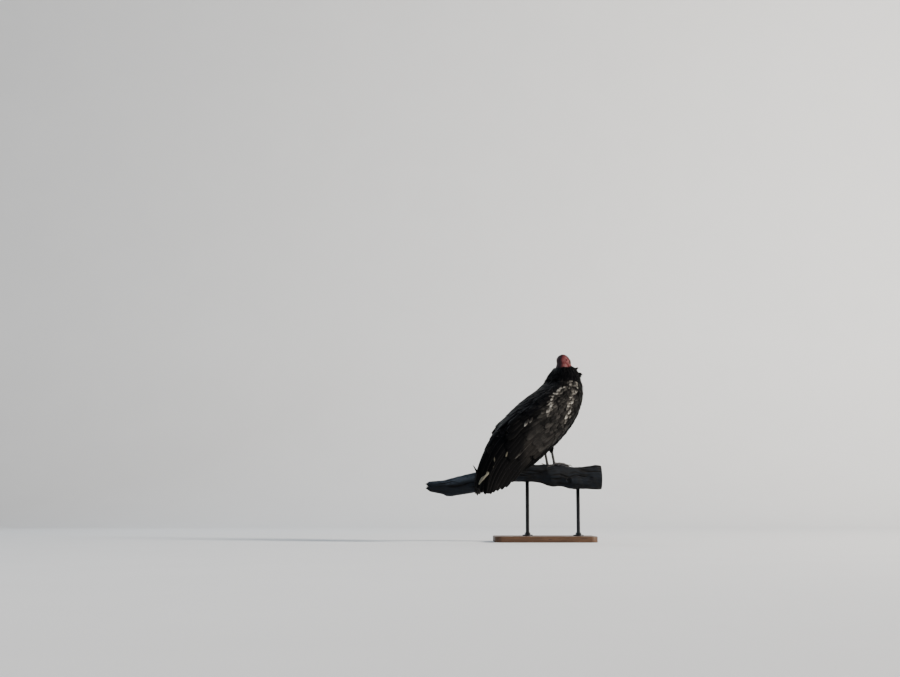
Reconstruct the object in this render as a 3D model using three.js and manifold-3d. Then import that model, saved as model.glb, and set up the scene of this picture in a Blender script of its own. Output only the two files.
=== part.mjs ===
// A life-size turkey vulture standing on a cut length of dead limb, held up by a plain display stand.
// Millimetres, +Z up. The origin is the centre of the stand base's underside. The limb runs along X,
// and the bird looks towards +X, turned a little towards +Y.
//
// The bird is made in a frame of its own: u forward, v to its left, h up from the top of the limb.
// Its plumage follows one envelope, a tube along the back-to-belly axis from the ruff to the wing tips.
// A place on the envelope is (s, around): s from 0 at the ruff to 1 at the wing tips, and around in
// degrees from 0 on the breast, over 90 on either flank, to 180 on the back.
import * as THREE from "three";
import { mergeVertices } from "three/addons/utils/BufferGeometryUtils.js";
import Module from "manifold-3d";

const wasm = await Module();
wasm.setup();

// ---------------------------------------------------------------- driving dimensions
const GAP = 0.3; // between neighbours that touch
const RAD = Math.PI / 180;

const BASE = { length: 380, depth: 250, height: 22, corner: 28, bevel: 2.5 };
const ROD = { radius: 7, sides: 16, at: [-62, 128], sink: 14, stopBelow: 8 };
const LIMB_TOP = 290; // height of the limb's upper side under the feet
const BIRD = { x: 18, y: -4, turn: 25 }; // where the bird stands, and its turn about Z

// The limb's centre line and radius from the broken tip on the left to the saw cut on the right.
const LIMB_LINE = [
  // x, y, z, radius
  [-438, 58, 209, 11],
  [-428, 57, 208, 19],
  [-381, 50, 205, 27],
  [-358, 46, 204, 33],
  [-297, 40, 216, 36],
  [-255, 34, 224, 37],
  [-137, 20, 252, 32],
  [-73, 10, 257, 31],
  [-16, 2, 255, 34],
  [26, -2, 248.5, 41],
  [64, -4, 249, 40],
  [98, -5, 241, 41],
  [155, -6, 238, 42],
  [197, -6, 239, 46],
  [216, -6, 239, 45],
];
// Its surface: low ridges along the grain, and one knot, as shares of the radius.
const LIMB = { rings: 24, sides: 13, ridge: 0.035, ripple: 0.02, knot: 0.05, knotAt: 118, knotReach: 20 };

// The plumage envelope: centre (u, h), depth to the breast side, depth to the back, half width.
const ENVELOPE_LINE = [
  [76, 364, 44, 44, 48],
  [70, 334, 62, 50, 64],
  [56, 290, 88, 58, 90],
  [30, 244, 104, 74, 106],
  [-6, 199, 110, 92, 112],
  [-48, 154, 110, 103, 110],
  [-92, 109, 104, 108, 102],
  [-134, 64, 98, 108, 90],
  [-172, 18, 92, 104, 78],
  [-206, -30, 84, 96, 68],
  [-236, -78, 66, 82, 60],
  [-264, -128, 44, 50, 52],
];
const SQUARENESS = 0.92; // below 1 the envelope's section is a little boxier than an ellipse

// Every layer of plumage has its corners on one grid of the envelope, so that layers lie on each
// other without crossing: rows along s, columns around, with two columns to a large feather.
const GRID = { row: 0.06, column: 7.5 };
const LAYER_GAP = 0.5;

// How far each layer's outer side lies from the envelope (inwards is negative). The layers are
// listed from the outside in, and each one's inner side rests on the next.
const COVERTS = { rows: [2, 10], columns: [6, 20], edge: -6, swell: 9, shoulder: 9, under: 6, flank: 7 };
const SECONDARIES = { rows: [7, 11], columns: [8, 20], outer: -7, free: -3, thick: 5.4, tip: 0.1 };
const PRIMARIES = { rows: [8, 15], columns: [7, 19], outer: -13, free: -6, thick: 5.2, tip: 0.1 };
const TAIL = { rows: [11, 15], columns: [15, 33], outer: -20, middle: -5, ridge: 0.42, thick: 4, tip: 0.1 };
const TRUNK = { rows: [1, 13], columns: 24, outer: -19.5, breast: -4, back: -5, taper: 30 };
const TIP_NOTCH = 0.016; // how deep the gap between two feather tips is, along s
const TERTIAL_LIFT = 12; // how far the longest tertial's point stands off the back

const RUFF = {
  rows: 3,
  columns: 24,
  lift: 1,
  point: 4,
  tufts: [
    { from: [92, -12, 354], to: [119, -17, 367], radius: 11 },
    { from: [103, -28, 351], to: [127, -36, 350], radius: 8 },
  ],
};
const NECK = { line: [[58, 0, 357], [58, 0, 368], [61, 0, 384]], radius: 27, taper: 5 };

const HEAD = { at: [70, 0, 392], pitch: 36, turn: 18, rings: 11, sides: 16 };
const EYE = { radius: 6.6, at: [9, 14.4, 6.5] };
const NOSTRIL = { at: [35.5, 2.2], length: 9, height: 4.6 };

const LEG = {
  spread: 26, // each foot's distance from the bird's mid-plane
  ankle: [-3, 64],
  foot: 11,
  shaft: 4.3,
  toes: [
    // bearing from straight ahead (outwards is positive), length, base radius, claw length
    { name: "inner", bearing: -20, length: 40, radius: 4.6, claw: 17 },
    { name: "middle", bearing: 2, length: 60, radius: 5, claw: 18 },
    { name: "outer", bearing: 34, length: 43, radius: 4.5, claw: 15 },
    { name: "hind", bearing: 188, length: 20, radius: 4.2, claw: 12 },
  ],
};

const THIGH = { line: [[-30, 34, 126], [-20, 33, 102], [-8, 30, 74], [1, 26, 47]], top: 25, ankle: 7 };

// ---------------------------------------------------------------- geometry helpers

/** A three.js geometry as a manifold-3d solid. */
function solidOf(geometry) {
  const g = geometry.clone();
  g.deleteAttribute("normal");
  g.deleteAttribute("uv");
  const merged = mergeVertices(g, 1e-4);
  const mesh = new wasm.Mesh({
    numProp: 3,
    vertProperties: new Float32Array(merged.attributes.position.array),
    triVerts: new Uint32Array(merged.index.array),
  });
  return new wasm.Manifold(mesh);
}

/** A manifold-3d solid as a three.js geometry with flat facets. */
function geometryOf(solid) {
  const mesh = solid.getMesh();
  const geometry = new THREE.BufferGeometry();
  geometry.setAttribute("position", new THREE.BufferAttribute(mesh.vertProperties, 3));
  geometry.setIndex(new THREE.BufferAttribute(mesh.triVerts, 1));
  const flat = geometry.toNonIndexed();
  flat.computeVertexNormals();
  return flat;
}

/** A closed geometry from a list of points and a list of triangles. */
function geometryFrom(points, triangles) {
  const geometry = new THREE.BufferGeometry().setFromPoints(points);
  geometry.setIndex(triangles);
  return geometry;
}

/** The solid through rings of points, each end closed by a fan to its middle. */
function loft(rings) {
  const sides = rings[0].length;
  const points = rings.flat();
  const triangles = [];
  for (let i = 0; i + 1 < rings.length; i++)
    for (let k = 0; k < sides; k++) {
      const [a, b] = [i * sides + k, i * sides + ((k + 1) % sides)];
      triangles.push(a, b, b + sides, a, b + sides, a + sides);
    }
  for (const [ring, turn] of [[0, 1], [rings.length - 1, -1]]) {
    const middle = new THREE.Vector3();
    rings[ring].forEach((p) => middle.addScaledVector(p, 1 / sides));
    const centre = points.push(middle) - 1;
    for (let k = 0; k < sides; k++) {
      const [a, b] = [ring * sides + k, ring * sides + ((k + 1) % sides)];
      triangles.push(centre, ...(turn > 0 ? [b, a] : [a, b]));
    }
  }
  return outward(geometryFrom(points, triangles));
}

/** The solid of a geometry, turned right side out if its faces point inwards. */
function outward(geometry) {
  const made = solidOf(geometry);
  if (made.volume() > 0) return made;
  const index = geometry.index.array;
  for (let i = 0; i < index.length; i += 3) [index[i], index[i + 1]] = [index[i + 1], index[i]];
  return solidOf(geometry);
}

/** A closed plate between two surfaces, each a function of p and q from 0 to 1. */
function plate(rows, columns, outer, inner) {
  const points = [];
  const triangles = [];
  const width = columns + 1;
  for (const surface of [outer, inner])
    for (let i = 0; i <= rows; i++)
      for (let k = 0; k <= columns; k++) points.push(surface(i / rows, k / columns));
  const under = (rows + 1) * width;
  const quad = (a, b, c, d) => triangles.push(a, b, c, a, c, d);
  for (let i = 0; i < rows; i++)
    for (let k = 0; k < columns; k++) {
      const a = i * width + k;
      quad(a, a + 1, a + width + 1, a + width);
      quad(under + a, under + a + width, under + a + width + 1, under + a + 1);
    }
  const wall = (a, b) => quad(b, a, under + a, under + b);
  for (let i = 0; i < rows; i++) {
    wall((i + 1) * width, i * width);
    wall(i * width + columns, (i + 1) * width + columns);
  }
  for (let k = 0; k < columns; k++) {
    wall(k, k + 1);
    wall(rows * width + k + 1, rows * width + k);
  }
  return outward(geometryFrom(points, triangles));
}

/** A smooth curve through rows of numbers: at(t) gives the row at t from 0 to 1. */
function smoothRows(rows) {
  const last = rows.length - 1;
  return (t) => {
    const x = THREE.MathUtils.clamp(t, 0, 1) * last;
    const i = Math.min(Math.floor(x), last - 1);
    const f = x - i;
    const pick = (k) => rows[THREE.MathUtils.clamp(k, 0, last)];
    return rows[0].map((_, c) => {
      const [p0, p1, p2, p3] = [pick(i - 1)[c], pick(i)[c], pick(i + 1)[c], pick(i + 2)[c]];
      const slopes = 2 * p1 + (p2 - p0) * f;
      const curve = (2 * p0 - 5 * p1 + 4 * p2 - p3) * f * f;
      return 0.5 * (slopes + curve + (3 * p1 - p0 - 3 * p2 + p3) * f ** 3);
    });
  };
}

/** A tapering round rod along points, radius(t) thick, with rounded ends. */
function taperedRod(path, radius, steps, sides) {
  const curve = new THREE.CatmullRomCurve3(path);
  const frames = curve.computeFrenetFrames(steps, false);
  const rings = [];
  for (let i = 0; i <= steps; i++) {
    const centre = curve.getPointAt(i / steps);
    const ring = [];
    for (let k = 0; k < sides; k++) {
      const a = (k / sides) * 2 * Math.PI;
      ring.push(
        centre
          .clone()
          .addScaledVector(frames.normals[i], Math.cos(a) * radius(i / steps))
          .addScaledVector(frames.binormals[i], Math.sin(a) * radius(i / steps)),
      );
    }
    rings.push(ring);
  }
  return loft(rings);
}

const union = (solids) => solids.reduce((a, b) => a.add(b));
const cutBy = (solid, ...others) => others.reduce((a, b) => a.subtract(b), solid);

/** The largest body of a solid, dropping slivers that a cut leaves behind. */
function mainBody(solid) {
  return solid.decompose().reduce((a, b) => (b.volume() > a.volume() ? b : a));
}

// ---------------------------------------------------------------- limb and stand
const limbAt = smoothRows(LIMB_LINE);

/** The limb's ring at t, grown by so many millimetres, with weathered ridges and low knots. */
function limbRing(t, grow) {
  const [x, y, z, radius] = limbAt(t);
  const swelling = LIMB.knot * Math.exp(-(((x - LIMB.knotAt) / LIMB.knotReach) ** 2));
  const ring = [];
  for (let k = 0; k < LIMB.sides; k++) {
    const a = (k / LIMB.sides) * 2 * Math.PI;
    const ridges = LIMB.ridge * Math.sin(3 * a + x / 60) + LIMB.ripple * Math.sin(5 * a - x / 31);
    const r = radius * (1 + ridges + swelling * Math.cos(a + 2.1)) + grow;
    ring.push(new THREE.Vector3(x, y + r * Math.cos(a), z + r * Math.sin(a)));
  }
  return ring;
}

/** The dead limb, grown by so many millimetres. */
function limb(grow) {
  const rings = [];
  for (let i = 0; i <= LIMB.rings; i++) rings.push(limbRing(i / LIMB.rings, grow));
  return loft(rings);
}

/** The limb's centre and radius at a distance along X. */
function limbAcross(x) {
  let [low, high] = [0, 1];
  for (let i = 0; i < 30; i++) {
    const middle = (low + high) / 2;
    if (limbAt(middle)[0] < x) low = middle;
    else high = middle;
  }
  return limbAt(low);
}

/** The stand's flat base, a rounded slab with eased edges. */
function standBase() {
  const { length, depth, height, corner, bevel } = BASE;
  const [a, b] = [length / 2 - bevel, depth / 2 - bevel];
  const outline = new THREE.Shape();
  outline.moveTo(-a + corner, -b);
  outline.lineTo(a - corner, -b);
  outline.absarc(a - corner, -b + corner, corner, -Math.PI / 2, 0);
  outline.lineTo(a, b - corner);
  outline.absarc(a - corner, b - corner, corner, 0, Math.PI / 2);
  outline.lineTo(-a + corner, b);
  outline.absarc(-a + corner, b - corner, corner, Math.PI / 2, Math.PI);
  outline.lineTo(-a, -b + corner);
  outline.absarc(-a + corner, -b + corner, corner, Math.PI, 1.5 * Math.PI);
  const slab = new THREE.ExtrudeGeometry(outline, {
    depth: height - 2 * bevel,
    bevelEnabled: true,
    bevelThickness: bevel,
    bevelSize: bevel,
    bevelSegments: 1,
    curveSegments: 4,
  });
  slab.translate(0, 0, bevel);
  return solidOf(slab);
}

/** An upright rod from inside the base up into the limb. */
function standRod(x, grow) {
  const [, y, z] = limbAcross(x);
  const bottom = BASE.height - ROD.sink - grow;
  const top = z - ROD.stopBelow + grow;
  const rod = new THREE.CylinderGeometry(ROD.radius + grow, ROD.radius + grow, top - bottom, ROD.sides);
  rod.rotateX(Math.PI / 2).translate(x, y, (top + bottom) / 2);
  return solidOf(rod);
}

// ---------------------------------------------------------------- the bird's envelope
const envelopeAt = smoothRows(ENVELOPE_LINE);

/** The point of the envelope at (s, around), lifted so many millimetres; side is -1 right, 1 left. */
function onEnvelope(s, around, lift, side) {
  const [u, h, front, back, half] = envelopeAt(s);
  const [ua, ha] = envelopeAt(s - 0.02);
  const [ub, hb] = envelopeAt(s + 0.02);
  const along = new THREE.Vector2(ub - ua, hb - ha).normalize();
  const a = around * RAD;
  const c = Math.sign(Math.cos(a)) * Math.abs(Math.cos(a)) ** SQUARENESS;
  const n = Math.sign(Math.sin(a)) * Math.abs(Math.sin(a)) ** SQUARENESS;
  const deep = c * ((c > 0 ? front : back) + lift);
  return new THREE.Vector3(u - along.y * deep, side * n * (half + lift), h + along.x * deep);
}

/** A closed plate on the grid between two lifts, each a function of (row, column). */
function layer(side, { rows, columns }, outer, inner, endOf) {
  const [firstRow, lastRow] = rows;
  const [firstColumn, lastColumn] = columns;
  const surface = (lift) => (p, q) => {
    const row = Math.round(firstRow + (lastRow - firstRow) * p);
    const column = Math.round(firstColumn + (lastColumn - firstColumn) * q);
    const s = row === lastRow ? endOf(column) : row * GRID.row;
    return onEnvelope(s, column * GRID.column, lift(row, column), side);
  };
  return plate(lastRow - firstRow, lastColumn - firstColumn, surface(outer), surface(inner));
}

/** The end of a layer: a line of feather tips, with a notch on every other column. */
const tipLine = (line, first) => (column) => line(column) - ((column - first) % 2 ? 0 : TIP_NOTCH);

/** Where a column lies between a layer's first and last, from 0 to 1. */
const share = ({ columns }, column) => (column - columns[0]) / (columns[1] - columns[0]);

/** The shoulder and coverts: a shield over the flank, thin at its edges. */
function wingCoverts(side) {
  const { rows, columns, edge, swell, shoulder, under, flank } = COVERTS;
  const outer = (row, column) => {
    const p = (row - rows[0]) / (rows[1] - rows[0]);
    const q = share(COVERTS, column);
    const near = Math.min(1, 3.2 * Math.min(p * 1.4, 1 - p, q, 1 - q));
    const bulge = shoulder * Math.exp(-(((p - 0.22) / 0.2) ** 2) - ((q - 0.2) / 0.25) ** 2);
    return edge + 1 + (swell + bulge) * Math.sqrt(near * (2 - near));
  };
  const inner = (row, column) => {
    const overFeathers = row >= under && column >= flank;
    return overFeathers ? edge - LAYER_GAP : TRUNK.outer + LAYER_GAP;
  };
  const line = (column) => rows[1] * GRID.row - 0.02 * (share(COVERTS, column) - 0.4) ** 2;
  return layer(side, COVERTS, outer, inner, tipLine(line, columns[0]));
}

/** The secondaries and tertials: broad vanes that reach back from under the coverts. */
function wingSecondaries(side) {
  const { rows, columns, outer, free, thick, tip } = SECONDARIES;
  const raised = (row, column) => {
    const tertial = column >= columns[1] - 3 ? TERTIAL_LIFT * Math.max(0, row - rows[1] + 1) : 0;
    return (row > COVERTS.rows[1] ? free : outer) + tertial;
  };
  const inner = (row, column) => raised(row, column) - thick;
  const line = (column) => rows[1] * GRID.row + tip * Math.sin(Math.PI * share(SECONDARIES, column)) ** 2;
  return layer(side, SECONDARIES, raised, inner, tipLine(line, columns[0]));
}

/** The primaries: long vanes whose tips step back from the wing's point to its lower edge. */
function wingPrimaries(side) {
  const { rows, columns, outer, free, thick, tip } = PRIMARIES;
  const raised = (row) => (row > SECONDARIES.rows[1] + 1 ? free : outer);
  const line = (column) => rows[1] * GRID.row + tip * Math.sin((Math.PI / 2) * share(PRIMARIES, column) ** 0.7);
  return layer(side, PRIMARIES, raised, (row) => raised(row) - thick, tipLine(line, columns[0]));
}

/** The tail's outer side: high along the middle, and low where the wings cover it. */
function tailLift(around) {
  const { columns, outer, middle, ridge } = TAIL;
  const halfWidth = ((columns[1] - columns[0]) / 2) * GRID.column;
  const fromMiddle = Math.abs(around - 180) / halfWidth;
  return outer + (middle - outer) * Math.max(0, 1 - fromMiddle / ridge) ** 0.6;
}

/** The tail: one arched fan of feathers across the back, its sides under the wings. */
function tail() {
  const { rows, thick, tip } = TAIL;
  const outer = (row, column) => tailLift(column * GRID.column);
  const inner = (row, column) => outer(row, column) - thick;
  const line = (column) => rows[1] * GRID.row + tip * (1 - 0.2 * (2 * share(TAIL, column) - 1) ** 2);
  return layer(1, TAIL, outer, inner, tipLine(line, TAIL.columns[0]));
}

/** The trunk: full on breast and back, and drawn in on the flanks where the wings lie. */
function trunk() {
  const { rows, columns, outer, breast, back, taper } = TRUNK;
  const [wingFront, wingBack] = COVERTS.columns.map((column) => column * GRID.column);
  const liftAt = (row, around) => {
    const fromBreast = Math.min(around, 360 - around);
    const end = -taper * Math.max(0, (row - rows[1] + 3) / 3) ** 2;
    if (row >= TAIL.rows[0] && fromBreast > 90) return tailLift(around) - TAIL.thick - LAYER_GAP + end;
    if (fromBreast < wingFront) return breast + end;
    return (fromBreast > wingBack ? back : outer) + end;
  };
  const loops = [];
  for (let row = rows[0]; row <= rows[1]; row++) {
    const ring = [];
    for (let k = 0; k < columns; k++) {
      const around = (k * 360) / columns;
      ring.push(onEnvelope(row * GRID.row, around, liftAt(row, around), 1));
    }
    loops.push(ring);
  }
  return loft(loops);
}

/** The ruff: a collar of feather points round the neck, with tufts that stand off it in front. */
function ruff() {
  const { rows, columns, lift, point, tufts } = RUFF;
  const loops = [];
  for (let i = 0; i <= rows; i++) {
    const t = i / rows; // 0 at the rim, 1 on the shoulders
    const ring = [];
    for (let k = 0; k < columns; k++) {
      const around = (k * 360) / columns;
      const place = onEnvelope(t * TRUNK.rows[0] * GRID.row, around, lift - 4 * t, 1);
      place.z += (k % 2 ? point : -point) * Math.max(0, 1 - 2 * t) + LAYER_GAP;
      ring.push(place);
    }
    loops.push(ring);
  }
  const collar = loft(loops);
  const points = tufts.map(({ from, to, radius }) => {
    const path = [0, 0.5, 1].map((t) => new THREE.Vector3(...from).lerp(new THREE.Vector3(...to), t));
    return taperedRod(path, (t) => radius * (1 - 0.85 * t), 3, 6);
  });
  return union([collar, ...points]);
}

/** The short bare neck from inside the ruff up to the back of the head. */
function neck(grow) {
  const path = NECK.line.map((at) => new THREE.Vector3(...at));
  return taperedRod(path, (t) => NECK.radius - NECK.taper * t + grow, 5, 16);
}

// ---------------------------------------------------------------- head and bill
// The head has its own frame: x towards the bill, y to the bird's left, z up.
const HEAD_LINE = [
  // x, height above, height below, half width
  [-30, 5, 5, 5],
  [-27, 13, 13, 12.5],
  [-19, 21, 20.5, 18.5],
  [-7, 25, 24, 21],
  [6, 24.5, 22.5, 20.3],
  [18, 20, 19, 16.6],
  [28, 14.5, 15.5, 12],
  [37, 11.2, 12.2, 9.4],
  [44, 10.5, 10.5, 8.4],
];
const headAt = smoothRows(HEAD_LINE);

/** The head from the nape to the front of the cere, grown by so many millimetres. */
function headShape(grow) {
  const { rings, sides } = HEAD;
  const loops = [];
  for (let i = 0; i <= rings; i++) {
    const [x, up, down, half] = headAt(i / rings);
    const ahead = x + (2 * (i / rings) - 1) * grow;
    const ring = [];
    for (let k = 0; k < sides; k++) {
      const a = (k / sides) * 2 * Math.PI;
      const rise = Math.sin(a) * ((Math.sin(a) > 0 ? up : down) + grow);
      ring.push(new THREE.Vector3(ahead, Math.cos(a) * (half + grow), rise));
    }
    loops.push(ring);
  }
  return loft(loops);
}

// The two horns of the bill, from the cere to their tips.
const UPPER_HORN = {
  line: [
    // x, z of the middle, half height, half width
    [44.3, 1.4, 9, 8.2],
    [50, 1.6, 8.6, 7.4],
    [57, 0.4, 8, 6.2],
    [63, -2.6, 7, 4.8],
    [67, -7.4, 5, 3.2],
    [67.4, -12.6, 2.4, 1.6],
    [66.2, -15.6, 0.8, 0.7],
  ],
  rings: 9,
  lean: 78, // how far the last section has turned down into the hook, in degrees
  leanFrom: 0.35,
};
const LOWER_HORN = {
  line: [
    [44.3, -9, 2.4, 7],
    [50, -9.4, 2.6, 6],
    [56, -9.8, 2.4, 4.6],
    [60.5, -9.8, 1.2, 2.6],
  ],
  rings: 4,
  lean: 0,
  leanFrom: 0,
};
const HORN_SIDES = 12;

/** A horn of the bill, grown by so many millimetres. */
function horn({ line, rings, lean, leanFrom }, grow) {
  const at = smoothRows([[line[0][0] - grow, ...line[0].slice(1)], ...line.slice(1)]);
  const loops = [];
  for (let i = 0; i <= rings; i++) {
    const t = i / rings;
    const [x, z, high, half] = at(t);
    const turn = lean * RAD * Math.max(0, (t - leanFrom) / (1 - leanFrom));
    const ring = [];
    for (let k = 0; k < HORN_SIDES; k++) {
      const a = (k / HORN_SIDES) * 2 * Math.PI;
      const [across, rise] = [Math.cos(a) * (half + grow), Math.sin(a) * (high + grow)];
      ring.push(new THREE.Vector3(x + rise * Math.sin(turn), across, z + rise * Math.cos(turn)));
    }
    loops.push(ring);
  }
  return loft(loops);
}

/** An eyeball, set deep in the side of the head. */
function eyeball(side, grow) {
  const ball = new THREE.SphereGeometry(EYE.radius + grow, 12, 8);
  ball.translate(EYE.at[0], side * EYE.at[1], EYE.at[2]);
  return solidOf(ball);
}

/** The open passage through the cere from one nostril to the other. */
function nostrils() {
  const outline = new THREE.Shape();
  outline.absellipse(NOSTRIL.at[0], NOSTRIL.at[1], NOSTRIL.length / 2, NOSTRIL.height / 2, 0, 2 * Math.PI);
  const bar = new THREE.ExtrudeGeometry(outline, { depth: 40, bevelEnabled: false, curveSegments: 8 });
  bar.translate(0, 0, -20).rotateX(Math.PI / 2);
  return solidOf(bar);
}

// Where the head sits on the neck, nodding and turned to the bird's left.
const headPose = new THREE.Matrix4()
  .makeTranslation(...HEAD.at)
  .multiply(new THREE.Matrix4().makeRotationZ(HEAD.turn * RAD))
  .multiply(new THREE.Matrix4().makeRotationY(HEAD.pitch * RAD));

const posed = (solid) => solidOf(geometryOf(solid).applyMatrix4(headPose));

// ---------------------------------------------------------------- legs and feet
const birdPose = new THREE.Matrix4()
  .makeTranslation(BIRD.x, BIRD.y, LIMB_TOP)
  .multiply(new THREE.Matrix4().makeRotationZ(BIRD.turn * RAD));
const birdPoseInverse = birdPose.clone().invert();

/** A solid of the outer frame, in the bird's frame. */
const inBirdFrame = (solid) => solidOf(geometryOf(solid).applyMatrix4(birdPoseInverse));

/** The height of the limb's surface over (u, v) of the bird's frame. */
function limbSurface(u, v) {
  const p = new THREE.Vector3(u, v, 0).applyMatrix4(birdPose);
  const [, y, z, radius] = limbAcross(p.x);
  return z + Math.sqrt(Math.max(radius ** 2 - (p.y - y) ** 2, 25)) - LIMB_TOP;
}

/** A point on the line of a toe, so far from the foot, raised off the wood. */
function toePoint(side, toe, distance, raise) {
  const bearing = side * toe.bearing * RAD;
  const u = LEG.foot + distance * Math.cos(bearing);
  const v = side * LEG.spread + distance * Math.sin(bearing);
  return new THREE.Vector3(u, v, limbSurface(u, v) + raise);
}

/** The tarsus and its four toes in one piece, each toe swollen at its joints. */
function foot(side) {
  const toes = LEG.toes.map((toe) => {
    const path = [];
    for (let i = 0; i <= 5; i++) {
      const t = i / 5;
      const raise = toe.radius * (0.9 - 0.25 * t) + (i === 0 ? 4 : 0);
      path.push(toePoint(side, toe, toe.length * t, raise));
    }
    const radius = (t) => toe.radius * (1 - 0.28 * t) * (1 + 0.1 * Math.cos(t * 6 * Math.PI));
    return taperedRod(path, radius, 6, 6);
  });
  return union(toes);
}

/** The claw at the end of a toe, arched down on to the wood. */
function claw(side, toe) {
  const reach = toe.length + GAP;
  const path = [0, 0.34, 0.7, 1].map((t) => {
    const raise = toe.radius * 0.66 + 3 * Math.sin(Math.PI * t) - toe.radius * 0.6 * t ** 2;
    return toePoint(side, toe, reach + toe.claw * t, raise);
  });
  return taperedRod(path, (t) => toe.radius * 0.66 * (1 - 0.86 * t), 4, 6);
}

/** The bare shank from the ankle down to the foot. */
function tarsus(side, grow) {
  const v = side * LEG.spread;
  const ankle = new THREE.Vector3(LEG.ankle[0], v, LEG.ankle[1]);
  const heel = new THREE.Vector3(LEG.foot, v, limbSurface(LEG.foot, v) + 6);
  const middle = ankle.clone().lerp(heel, 0.5);
  const radius = (t) => LEG.shaft * (1 + 0.28 * (2 * t - 1) ** 4) + grow;
  return taperedRod([ankle, middle, heel], radius, 5, 8);
}

/** The feathered leg above the ankle, widening up into the belly. */
function thigh(side, grow) {
  const path = THIGH.line.map(([u, v, h]) => new THREE.Vector3(u, side * v, h));
  return taperedRod(path, (t) => THIGH.top - (THIGH.top - THIGH.ankle) * t ** 0.8 + grow, 6, 10);
}

// ---------------------------------------------------------------- cutting the pieces apart
const FLANKS = [
  { name: "right", side: -1 },
  { name: "left", side: 1 },
];
const limbWithGap = inBirdFrame(limb(GAP));
const pieces = {};

const sockets = [eyeball(1, GAP), eyeball(-1, GAP), nostrils()];
const headWithGap = posed(headShape(GAP));
const horns = [UPPER_HORN, LOWER_HORN].map((shape) => posed(horn(shape, GAP)));

for (const { name, side } of FLANKS) {
  pieces["wing_coverts_" + name] = wingCoverts(side);
  pieces["wing_secondaries_" + name] = wingSecondaries(side);
  pieces["wing_primaries_" + name] = wingPrimaries(side);
  const toes = foot(side);
  const shank = tarsus(side, 0);
  pieces["thigh_" + name] = mainBody(cutBy(thigh(side, 0), tarsus(side, GAP)));
  pieces["foot_" + name] = mainBody(cutBy(toes.add(shank), limbWithGap));
  for (const toe of LEG.toes)
    pieces["claw_" + toe.name + "_" + name] = mainBody(cutBy(claw(side, toe), limbWithGap, toes));
}
pieces.tail = tail();
pieces.neck = mainBody(cutBy(neck(0), headWithGap));
pieces.ruff = mainBody(cutBy(ruff(), headWithGap, neck(GAP), ...horns));
const legCutters = FLANKS.flatMap(({ side }) => [thigh(side, GAP), tarsus(side, GAP)]);
pieces.trunk = mainBody(cutBy(trunk(), ...legCutters));
pieces.head = posed(cutBy(headShape(0), ...sockets));
pieces.bill_upper = posed(horn(UPPER_HORN, 0));
pieces.bill_lower = posed(mainBody(cutBy(horn(LOWER_HORN, 0), horn(UPPER_HORN, GAP))));
pieces.eye_right = posed(eyeball(-1, 0));
pieces.eye_left = posed(eyeball(1, 0));

// ---------------------------------------------------------------- materials and scene graph
const finish = {
  plumage: new THREE.MeshStandardMaterial({ color: "#17181c", roughness: 0.6, metalness: 0 }),
  coverts: new THREE.MeshStandardMaterial({ color: "#2e2925", roughness: 0.7, metalness: 0 }),
  skin: new THREE.MeshStandardMaterial({ color: "#9c4a46", roughness: 0.55, metalness: 0 }),
  leg: new THREE.MeshStandardMaterial({ color: "#4b4140", roughness: 0.65, metalness: 0 }),
  horn: new THREE.MeshStandardMaterial({ color: "#e3d8c0", roughness: 0.35, metalness: 0 }),
  claw: new THREE.MeshStandardMaterial({ color: "#1d1a19", roughness: 0.4, metalness: 0 }),
  eye: new THREE.MeshStandardMaterial({ color: "#2a1a12", roughness: 0.08, metalness: 0 }),
  wood: new THREE.MeshStandardMaterial({ color: "#6a6662", roughness: 0.9, metalness: 0 }),
  base: new THREE.MeshStandardMaterial({ color: "#3a2a20", roughness: 0.45, metalness: 0 }),
  rod: new THREE.MeshStandardMaterial({ color: "#2b2b2d", roughness: 0.35, metalness: 0.9 }),
};

function finishOf(name) {
  if (name.startsWith("wing_coverts")) return finish.coverts;
  if (name.startsWith("claw")) return finish.claw;
  if (name.startsWith("foot")) return finish.leg;
  if (name.startsWith("bill")) return finish.horn;
  if (name.startsWith("eye")) return finish.eye;
  if (name === "head") return finish.skin;
  return finish.plumage;
}

function piece(name, solid, material) {
  const mesh = new THREE.Mesh(geometryOf(solid), material);
  mesh.name = name;
  return mesh;
}

const bird = new THREE.Group();
bird.position.set(BIRD.x, BIRD.y, LIMB_TOP);
bird.rotation.z = BIRD.turn * RAD;
for (const [name, solid] of Object.entries(pieces)) bird.add(piece(name, solid, finishOf(name)));

const stand = new THREE.Group();
const rodsWithGap = ROD.at.map((x) => standRod(x, GAP));
stand.add(piece("stand_base", cutBy(standBase(), ...rodsWithGap), finish.base));
ROD.at.forEach((x, i) => stand.add(piece("stand_rod_" + (i + 1), standRod(x, 0), finish.rod)));
stand.add(piece("perch", cutBy(limb(0), ...rodsWithGap), finish.wood));

const vulture = new THREE.Group();
vulture.add(stand, bird);

export default vulture;
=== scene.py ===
# %% [markdown]
# # A turkey vulture on a dead limb
# The frame holds the plain solids of a life-size vulture, the cut limb that it stands on and a display
# stand. This lesson dresses them: one skin for the body, separate vanes for the feathers, a wrinkled head
# with its eyes and bill, scaly feet, weathered wood and a finished stand. Everything is worked out with
# numpy on two-parameter grids, and put into meshes in one call each.

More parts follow.
